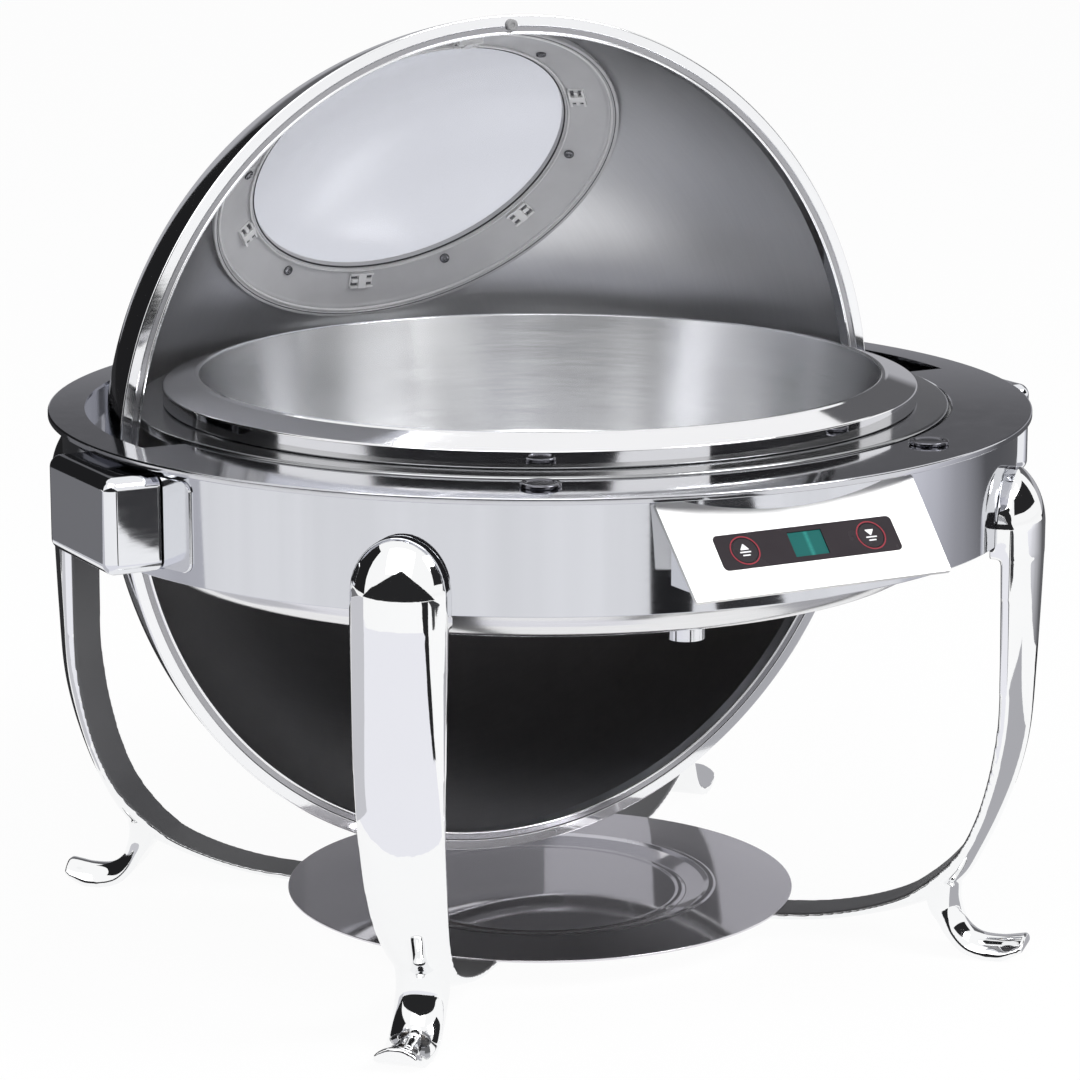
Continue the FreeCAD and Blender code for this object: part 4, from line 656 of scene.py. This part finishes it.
def make_housing(name, sign, front, back, node):
    """Block with rounded edges, closed against the saddle by the saddle's own curve."""
    radius = 6.0
    low = Vector((min(sign * 203.0, sign * 265.0), -front, 220.0))
    high = Vector((max(sign * 203.0, sign * 265.0), back, 267.0))
    grids = [spaced(low[i], high[i], radius) for i in range(3)]
    bm = bmesh.new()
    cache = {}

    def corner(p):
        key = tuple(round(c, 4) for c in p)
        if key not in cache:
            core = Vector([min(max(c, l + radius), h - radius) for c, l, h in zip(p, low, high)])
            away = Vector(p) - core
            at = core + away.normalized() * radius
            seat = math.sqrt(HOUSING_SEAT * HOUSING_SEAT - at.y * at.y)
            if abs(at.x) < seat:
                at.x = sign * seat
            cache[key] = bm.verts.new(at)
        return cache[key]

    for axis in range(3):
        u, v = [i for i in range(3) if i != axis]
        for value in (low[axis], high[axis]):
            for a, b in zip(grids[u], grids[u][1:]):
                for c, d in zip(grids[v], grids[v][1:]):
                    quad = []
                    for s, t in ((a, c), (b, c), (b, d), (a, d)):
                        p = [0.0, 0.0, 0.0]
                        p[axis], p[u], p[v] = value, s, t
                        quad.append(corner(p))
                    quad = list(dict.fromkeys(quad))
                    if len(quad) > 2 and bm.faces.get(quad) is None:
                        bm.faces.new(quad)
    return as_piece(name, bm, housing_steel, "frame", [node], "polished_steel")


make_saddle("dressed_left_saddle", -1, 13.0, "left_saddle")
make_saddle("dressed_right_saddle", 1, 90.0, "right_saddle")
make_housing("dressed_left_cover", -1, 62.0, 13.0, "left_hinge_cover")
make_housing("dressed_right_cover", 1, 60.0, 90.0, "right_drive_cover")

# Control panel
PANEL_TILT, PANEL_FOOT, PANEL_LOW = 43.3, 272.9, 230.0
PANEL_TURN = (Matrix.Translation((0, -PANEL_FOOT, PANEL_LOW))
              @ Matrix.Rotation(math.radians(-PANEL_TILT), 4, "X"))
PANEL_HIGH = 53.2           # up the slope, at the corners
PANEL_SEAT = 243.1          # radius of the skirt, and a gap


def flat_piece(name, outlines, top, bottom, material, body, replaced=(), slot=None, bevel=0.25):
    """Flat plate on the panel: closed outlines of (across, up the slope), between two depths."""
    bm = bmesh.new()
    edges = []
    for outline in outlines:
        loop = [bm.verts.new((x, top, y)) for x, y in outline]
        edges += [bm.edges.new((loop[i], loop[(i + 1) % len(loop)])) for i in range(len(loop))]
    faces = [g for g in bmesh.ops.triangle_fill(bm, use_beauty=True, edges=edges)["geom"]
             if isinstance(g, bmesh.types.BMFace)]
    made = bmesh.ops.extrude_face_region(bm, geom=faces)["geom"]
    for v in (g for g in made if isinstance(g, bmesh.types.BMVert)):
        v.co.y = bottom
    bmesh.ops.transform(bm, matrix=PANEL_TURN, verts=bm.verts)
    piece = as_piece(name, bm, material, body, replaced, slot, weighted=False, sharp=30.0)
    if bevel:
        modifier = piece.modifiers.new("edges", "BEVEL")
        modifier.width = bevel * MM
        modifier.segments = 3
        modifier.limit_method = "ANGLE"
        modifier.angle_limit = math.radians(40)
        modifier.harden_normals = True
    return piece


def panel_seat(across):
    """How far up the slope the panel's face meets the skirt, at a place across it."""
    y = -math.sqrt(PANEL_SEAT ** 2 - across * across)
    return (y + PANEL_FOOT) / math.sin(math.radians(PANEL_TILT))


tops = [(x, min(PANEL_HIGH, panel_seat(x))) for x in [69.7 - 139.4 * k / 40 for k in range(41)]]
panel_outline = rounded([(-68.6, 0, 1.2), (68.6, 0, 1.2), (69.78, PANEL_HIGH, 1.0)]
                        + [t for t in tops[1:-1] if t[1] < PANEL_HIGH] + [(-69.78, PANEL_HIGH, 1.0)], 4)
display = rounded([(-48.1, 14.1, 2.6), (48.1, 14.1, 2.6), (48.1, 32.8, 2.6), (-48.1, 32.8, 2.6)], 5)
flat_piece("dressed_panel", [panel_outline, list(reversed(display))], 0.0, 2.0, panel_steel, "frame",
           ["control_panel"], "panel_steel")


def icon_piece(name, sign, outlines, body):
    moved = [[(x + 34.0 * sign, y + 23.45) for x, y in outline] for outline in outlines]
    return flat_piece(name, moved, -0.27, -0.2, icon_white, body, slot="button_black", bevel=0)


def bar(half, low, high, r=0.3):
    return rounded([(-half, low, r), (half, low, r), (half, high, r), (-half, high, r)], 3)


two_bars = [bar(2.9, -1.2, -0.5), bar(2.0, -2.9, -2.2)]
icon_piece("open_icon", -1, [rounded([(-2.5, 0.3, 0.3), (2.5, 0.3, 0.3), (0, 3.7, 0.3)], 3), *two_bars],
           "open_button")
icon_piece("close_icon", 1, [rounded([(-2.5, 3.2, 0.3), (0, -0.2, 0.3), (2.5, 3.2, 0.3)], 3), *two_bars],
           "close_button")


# Legs
LEG_STATIONS = [
    ((244.5, 216), (262, 216), 1.00, 1.0), ((245, 186), (261, 186), 0.98, 1.0),
    ((245.5, 152), (259.4, 150), 0.95, 1.0), ((245, 126), (257.4, 120), 0.92, 1.0),
    ((242, 104), (252.6, 97), 0.89, 0.95), ((236.8, 82), (245, 75), 0.85, 0.9),
    ((229, 62.5), (236.5, 56), 0.78, 0.85), ((219.7, 49), (228, 41), 0.70, 0.8),
    ((209.5, 39), (216, 30), 0.62, 0.75), ((197, 30), (201, 22.8), 0.57, 0.7),
    ((180, 23), (182.2, 16.8), 0.553, 0.65), ((160, 17.8), (161.2, 12.2), 0.553, 0.65),
    ((140, 15.0), (140, 9.6), 0.553, 0.65), ((120, 14.0), (120, 8.6), 0.553, 0.65),
    ((95, 12.3), (95, 6.9), 0.553, 0.65), ((74, 10.8), (74, 5.4), 0.553, 0.65),
    ((65, 10.8), (65, 5.4), 0.553, 0.65), ((20, 10.8), (20, 5.4), 0.553, 0.65)]
FOOT_STATIONS = [
    ((213.0, 41), (226.0, 48), 0.56, 0.8), ((209.5, 33), (225.5, 42), 0.56, 0.8),
    ((210.5, 24.5), (224.4, 32), 0.56, 0.8), ((215, 18), (225, 25.5), 0.555, 0.75),
    ((220.5, 9.5), (228.2, 16.8), 0.553, 0.7), ((229.5, 2), (235, 11.2), 0.55, 0.65),
    ((245, -0.6), (245.5, 10.4), 0.53, 0.6), ((253, 2.2), (253.6, 11.6), 0.52, 0.55),
    ((258.6, 5.4), (259.2, 12.6), 0.46, 0.5)]
LEG_WIDTH, LEG_EDGE = 47.0, 4.5
LEG_SEAT = 243.12           # radius of the skirt, and a gap
TRAY_GAP = 0.12


def between(rows, per):
    """Rows of numbers with smooth in-between rows, as a Catmull-Rom spline gives them."""
    out = []
    for i in range(len(rows) - 1):
        p0, p1 = rows[max(i - 1, 0)], rows[i]
        p2, p3 = rows[i + 1], rows[min(i + 2, len(rows) - 1)]
        for k in range(per):
            t = k / per
            out.append([0.5 * (2 * b + (c - a) * t + (2 * a - 5 * b + 4 * c - d) * t * t
                               + (3 * b - a - 3 * c + d) * t ** 3) for a, b, c, d in zip(p0, p1, p2, p3)])
    return out + [list(rows[-1])]


def bow_depth(half, rise_by, x):
    """Drop of the bowed front below its middle, at a distance x from it."""
    reach = (half * half + rise_by * rise_by) / (2 * rise_by)
    return reach - math.sqrt(max(0.0, reach * reach - x * x))


def d_ring(row, steps=20):
    inner_r, inner_z, outer_r, outer_z, wide, thick = row
    back, front = Vector((inner_r, inner_z)), Vector((outer_r, outer_z))
    half, flank = LEG_WIDTH * wide / 2, LEG_EDGE * thick
    out = (front - back).normalized()
    depth = (front - back).length
    points = []
    for k in range(9):
        points.append((-half + 2 * half * k / 8, 0.0))
    for k in range(1, 3):
        points.append((half, flank * k / 2))
    rise_by = max(0.2, depth - flank)
    for k in range(1, steps):
        x = half * math.cos(math.pi * k / steps)
        points.append((x, depth - bow_depth(half, rise_by, x)))
    for k in range(2, 0, -1):
        points.append((-half, flank * k / 2))
    return [Vector((x, -(back + out * d).x, (back + out * d).y)) for x, d in points]


def add_loft(bm, stations, per=6):
    rows = between([[*a, *b, c, d] for a, b, c, d in stations], per)
    rings = [[bm.verts.new(p) for p in d_ring(row)] for row in rows]
    for one, two in zip(rings, rings[1:]):
        for k in range(len(one)):
            n = (k + 1) % len(one)
            bm.faces.new([one[k], one[n], two[n], two[k]])
    bm.faces.new(rings[0])
    bm.faces.new(list(reversed(rings[-1])))


def add_arch(bm):
    """Upper part on the skirt: straight to the arch's start, then a half dome."""
    inner, front, flank = 239.0, 262.0, 244.5 + LEG_EDGE
    add_loft(bm, [((inner, z), (front, z), 1.0, (flank - inner) / LEG_EDGE) for z in (210, 216, 224.02)], 3)
    half = LEG_WIDTH / 2
    rings = []
    count = 14
    for k in range(count + 1):
        rho = half * math.sin(math.pi / 2 * k / count)
        y = -(front - bow_depth(half, front - flank, rho))
        rings.append((rho, y))
    rings += [(half, -(flank + inner) / 2), (half, -inner), (0.0, -inner)]
    turns = 40
    columns = []
    for j in range(turns + 1):
        phi = math.pi * j / turns
        columns.append([bm.verts.new((rho * math.cos(phi), y, 224 + rho * math.sin(phi) * 28.5 / half))
                        for rho, y in rings])
    for one, two in zip(columns, columns[1:]):
        for k in range(len(rings) - 1):
            bm.faces.new([one[k], two[k], two[k + 1], one[k + 1]])
    bm.faces.new(columns[0] + list(reversed(columns[-1])))


INNER_LINE = between([[*a] for a, _, _, _ in LEG_STATIONS], 6)


def inner_distance(reach, height):
    """Distance from the leg's flat inner line, and that line's direction there."""
    best, way = 1e9, None
    for (r0, z0), (r1, z1) in zip(INNER_LINE, INNER_LINE[1:]):
        dr, dz = r1 - r0, z1 - z0
        t = max(0.0, min(1.0, ((reach - r0) * dr + (height - z0) * dz) / (dr * dr + dz * dz)))
        d = math.hypot(reach - r0 - t * dr, height - z0 - t * dz)
        if d < best:
            best, way = d, Vector((dr, dz)).normalized()
    return best, way


def tray_under(reach):
    """Height of the tray's lower face at a radius."""
    if reach >= 132.3:
        return 1e9
    if reach >= 90:
        return 14.3
    if reach >= 75:
        return 10.8 + 3.5 * (reach - 75) / 15
    return 10.8


def make_leg_mesh():
    bm = bmesh.new()
    add_loft(bm, LEG_STATIONS)
    add_loft(bm, FOOT_STATIONS)
    add_arch(bm)
    for v in bm.verts:
        v.co *= MM
    bmesh.ops.recalc_face_normals(bm, faces=bm.faces)
    rough = bpy.data.meshes.new("leg_parts")
    bm.to_mesh(rough)
    bm.free()
    holder = new_object("leg_parts", rough)
    remesh = holder.modifiers.new("one_skin", "REMESH")
    remesh.mode = "VOXEL"
    remesh.voxel_size = 1.05 * MM
    smooth = holder.modifiers.new("soften", "SMOOTH")
    smooth.factor = 0.5
    smooth.iterations = 7
    bpy.context.view_layer.update()
    made = bpy.data.meshes.new_from_object(holder.evaluated_get(bpy.context.evaluated_depsgraph_get()))
    bpy.data.objects.remove(holder)
    bpy.data.meshes.remove(rough)
    for v in made.vertices:
        p = v.co / MM
        reach = math.hypot(p.x, p.y)
        if p.z > 215.2 and reach < LEG_SEAT:
            p.y = -math.sqrt(LEG_SEAT ** 2 - p.x * p.x)
        limit = tray_under(reach) - TRAY_GAP
        if p.z > limit and p.z < 30:
            p.z = limit
        p.z = max(p.z, 0.0)
        v.co = p
    return made


def mark_leg_inside(mesh):
    """Marks the flat inner face's vertices with 1, the rest with 0, with a short way between."""
    mark = mesh.attributes.new("inside", "FLOAT", "POINT")
    for vertex, item in zip(mesh.vertices, mark.data):
        place, normal = vertex.co, vertex.normal
        if place.z > 219:
            continue
        distance, way = inner_distance(-place.y, place.z)
        if distance < 3.5:
            item.value = max(0.0, min(1.0, (-normal.y * way.y - normal.z * way.x - 0.35) / 0.3))


def leg_material():
    """Chrome on the bowed face and flanks, satin on the flat inner face."""
    g = Graph("leg_chrome")
    place = g.place()
    cloud = g.noise(place, 16.0, 5.0)
    grain = g.noise(place, 1400.0, 3.0)
    fine, coarse = g.bumps(grain, 0.006), g.bumps(grain, 0.25)
    chrome = g.add("BsdfPrincipled", {
        "Base Color": g.blend(cloud, (0.905, 0.91, 0.915), (0.95, 0.955, 0.96)), "Metallic": 1.0,
        "Roughness": g.spread(cloud, 0.015, 0.045), "Normal": fine})
    satin = g.add("BsdfPrincipled", {
        "Base Color": g.blend(cloud, (0.225, 0.225, 0.23), (0.26, 0.26, 0.265)), "Metallic": 1.0,
        "Roughness": g.spread(cloud, 0.5, 0.6), "Normal": coarse})
    inside = g.add("Attribute", attribute_name="inside").outputs["Fac"]
    return g.finish(g.either(g.spread(inside, 0.0, 1.0), chrome.outputs["BSDF"], satin.outputs["BSDF"]))


leg_mesh = make_leg_mesh()
leg_mesh.materials.append(leg_material())
mark_leg_inside(leg_mesh)
for name, azimuth in (("leg_front_right", 43.65), ("leg_front_left", -43.65),
                      ("leg_rear_right", 130.6), ("leg_rear_left", -130.6)):
    copy = leg_mesh.copy()
    copy.transform(Matrix.Rotation(math.radians(azimuth), 4, "Z"))
    for vertex in copy.vertices:
        vertex.co *= MM
    copy.shade_smooth()
    piece = new_object("dressed_" + name, copy)
    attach(piece, "frame")
    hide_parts(name)
bpy.data.meshes.remove(leg_mesh)

# Fuel tray
turned("dressed_tray", rounded([
    (0, 8.5), (8, 8.5, 0.4), (8, 10.8), (75, 10.8, 2), (90, 14.3, 2), (132, 14.3, 0.3), (132, 15.5, 0.35),
    (92, 15.5, 1), (91, 15.9, 0.8), (88.6, 15.9, 1.2), (86, 14.6, 1.5), (76.5, 11.7, 1.5), (74.5, 12.5, 0.9),
    (72.6, 12.5, 0.9), (71, 12, 0.8), (0, 12)], 6), tray_steel, "frame", ["fuel_tray"], "polished_steel",
       segments=320)

# CAD nodes that stay
KEPT = {
    "pan_carrier": hidden_steel, "drain_plug": steel, "pivot_pin_left": fastener_steel,
    "pin_bracket_left": hidden_steel, "bush_right": brass, "bush_left": brass, "gearbox": drive_black,
    "motor": hidden_steel, "power_inlet": drive_black, "control_box": steel,
    "display_window": display_black, "lcd_screen": screen_teal, "control_board": board_green,
    "button_rings": ring_red, "key_switches": drive_black, "leg_bolts": fastener_steel,
    "tray_hub": hidden_steel, "hub_screws": fastener_steel, "tray_screw": fastener_steel,
    "lid_ear_left": hidden_steel, "lid_ear_right": hidden_steel, "ear_rivets": fastener_steel,
    "drive_shaft": fastener_steel, "shaft_screws": fastener_steel,
    "button_open": button_black, "button_close": button_black}
for name, material in KEPT.items():
    mesh = nodes[name].data
    mesh.materials.clear()
    mesh.materials.append(material)


# Studio
def white_stage():
    """Plain white floor that keeps a soft shadow."""
    g = Graph("studio_floor")
    lit = g.add("BsdfDiffuse", {"Color": (0.9, 0.9, 0.9, 1)}).outputs["BSDF"]
    white = g.add("Emission", {"Color": (1, 1, 1, 1), "Strength": 1.0}).outputs["Emission"]
    return g.finish(g.either(g.math("MULTIPLY", g.background_rays(), 0.94), lit, white))


def stage_mesh(name, verts, faces, material, only_glossy=False):
    mesh = bpy.data.meshes.new(name)
    mesh.from_pydata(verts, [], faces)
    mesh.materials.append(material)
    mesh.shade_smooth()
    piece = new_object(name, mesh)
    if only_glossy:
        piece.visible_camera = False
        piece.visible_diffuse = False
        piece.visible_shadow = False
        piece.visible_transmission = False
    return piece


stage_mesh("floor", [(-30, -30, -0.0005), (30, -30, -0.0005), (30, 30, -0.0005), (-30, 30, -0.0005)],
           [(0, 1, 2, 3)], white_stage())


def flag_material(name, value, top=None, low=0.0, high=1.0, axis="Z"):
    """Grey studio flag, seen only in reflections, that may fade to another grey along an axis."""
    g = Graph(name)
    place = g.add("SeparateXYZ", {"Vector": g.add("NewGeometry").outputs["Position"]}).outputs[axis]
    shade = g.spread(place, value, value if top is None else top, low, high)
    bluer = g.math("MULTIPLY", shade, 1.06)
    grey = g.add("CombineXYZ", {"X": shade, "Y": shade, "Z": bluer}).outputs["Vector"]
    return g.finish(g.add("Emission", {"Color": grey}).outputs["Emission"])


def flag_wall(name, start, end, radius, high, material, peak=None, low=0.0, steps=48):
    """Curved flag round the object between two azimuths and two heights in m. Its top may be one peak."""
    verts, faces = [], []
    for k in range(steps + 1):
        angle = start + (end - start) * k / steps
        top = high
        if peak is not None:
            top = high * min((angle - start) / (peak - start), (end - angle) / (end - peak))
        azimuth = math.radians(angle)
        x, y = radius * math.sin(azimuth), -radius * math.cos(azimuth)
        verts += [(x, y, low), (x, y, top)]
    for k in range(steps):
        faces.append((2 * k, 2 * k + 2, 2 * k + 3, 2 * k + 1))
    return stage_mesh(name, verts, faces, material, only_glossy=True)


def floor_flag(name, corners, material):
    """Flag that lies on the floor, from corners (x, y) in m."""
    return stage_mesh(name, [(x, y, 0.003) for x, y in corners], [tuple(range(len(corners)))], material,
                      only_glossy=True)


def flag_ring_floor(name, start, end, inner, outer, material, steps=32):
    """Flag that lies on the floor as part of a ring round the object."""
    verts, faces = [], []
    for k in range(steps + 1):
        azimuth = math.radians(start + (end - start) * k / steps)
        verts += [(r * math.sin(azimuth), -r * math.cos(azimuth), 0.002) for r in (inner, outer)]
    for k in range(steps):
        faces.append((2 * k, 2 * k + 1, 2 * k + 3, 2 * k + 2))
    return stage_mesh(name, verts, faces, material, only_glossy=True)


flag_wall("flag_near_left", -112, 20, 1.75, 1.25, flag_material("flag_black", 0.02), peak=-39)
flag_wall("flag_behind", 100, 172, 2.6, 1.8, flag_material("flag_behind", 0.42, 0.12, 0.60, 0.76))
flag_wall("flag_near_right", 20, 78, 1.75, 1.30, flag_material("flag_near_right", 0.02), low=0.48)
flag_wall("flag_tray_right", 95, 151, 0.36, 0.20, flag_material("flag_tray_right", 0.42), low=0.02)
flag_wall("flag_tray_left", 151, 175, 0.36, 0.20, flag_material("flag_tray_left", 0.16), low=0.02)
flag_wall("flag_behind_left", 172, 250, 2.6, 2.8, flag_material("flag_behind_left", 0.015))
flag_ring_floor("flag_floor_behind", 95, 212, 0.36, 2.6, flag_material("flag_floor_behind", 0.03))
floor_flag("flag_front", [(0.16, -1.60), (0.16, -0.955), (0.243, -0.955), (0.250, -0.985), (0.262, -0.990),
                          (0.270, -1.010), (0.277, -1.005), (0.283, -0.975), (0.300, -0.960),
                          (0.450, -0.960), (0.450, -1.600)], flag_material("flag_navy", 0.045))
flag_ring_floor("flag_legs", -118, -5, 0.36, 0.98, flag_material("flag_legs", 0.86))
floor_flag("flag_low_right", [(0.16, -0.16), (0.50, -0.14), (0.66, -0.52), (0.34, -0.62)],
           flag_material("flag_low_right", 0.42))
floor_flag("flag_front_strip", [(-0.15, -1.60), (-0.08, -0.62), (-0.045, -0.62), (0.16, -1.60)],
           flag_material("flag_strip", 0.02))
floor_flag("flag_back_left", [(-1.30, 0.78), (-0.52, 0.78), (-0.52, 1.60), (-1.30, 1.60)],
           flag_material("flag_grey", 0.18))
floor_flag("flag_left", [(-0.43, -0.05), (-1.49, 0.51), (-1.30, 0.77), (-0.50, 0.77), (-0.28, 0.12)],
           flag_material("flag_left", 0.58))
floor_flag("flag_right", [(0.98, -0.85), (1.80, -0.85), (1.80, 1.10), (0.60, 1.10), (0.60, 0.45)],
           flag_material("flag_right", 0.9, 0.12, -0.80, 0.10, "Y"))


def aimed(name, data, place, aim):
    thing = new_object(name, data)
    thing.location = place
    thing.rotation_euler = (Vector(aim) - thing.location).to_track_quat("-Z", "Y").to_euler()
    return thing


def lamp(name, place, aim, size, watts):
    light = bpy.data.lights.new(name, "AREA")
    light.shape = "RECTANGLE"
    light.size, light.size_y = size
    light.energy = watts
    aimed(name, light, place, aim)


lamp("key", (-1.6, -1.6, 2.6), (0, 0, 0.2), (3.0, 2.4), 40)
lamp("fill", (1.5, -2.1, 2.3), (0, 0, 0.2), (1.6, 1.2), 60)

g = Graph("studio", bpy.data.worlds.new("studio"))
white = g.add("Background", {"Color": (1, 1, 1, 1)}).outputs[0]
soft = g.add("Background", {"Color": (0.62, 0.62, 0.63, 1)}).outputs[0]
bpy.context.scene.world = g.finish(g.either(g.background_rays(), soft, white), "OutputWorld")

CAMERA_AT, CAMERA_AIM = (-0.9587, -1.7620, 0.6406), (0, 0, 0.1988)   # m, solved from the photograph
camera = bpy.data.cameras.new("camera")
camera.lens = 132.87
camera.sensor_width = 36.0
camera.clip_end = 60
bpy.context.scene.camera = aimed("camera", camera, CAMERA_AT, CAMERA_AIM)
bpy.context.scene.view_settings.view_transform = "Standard"
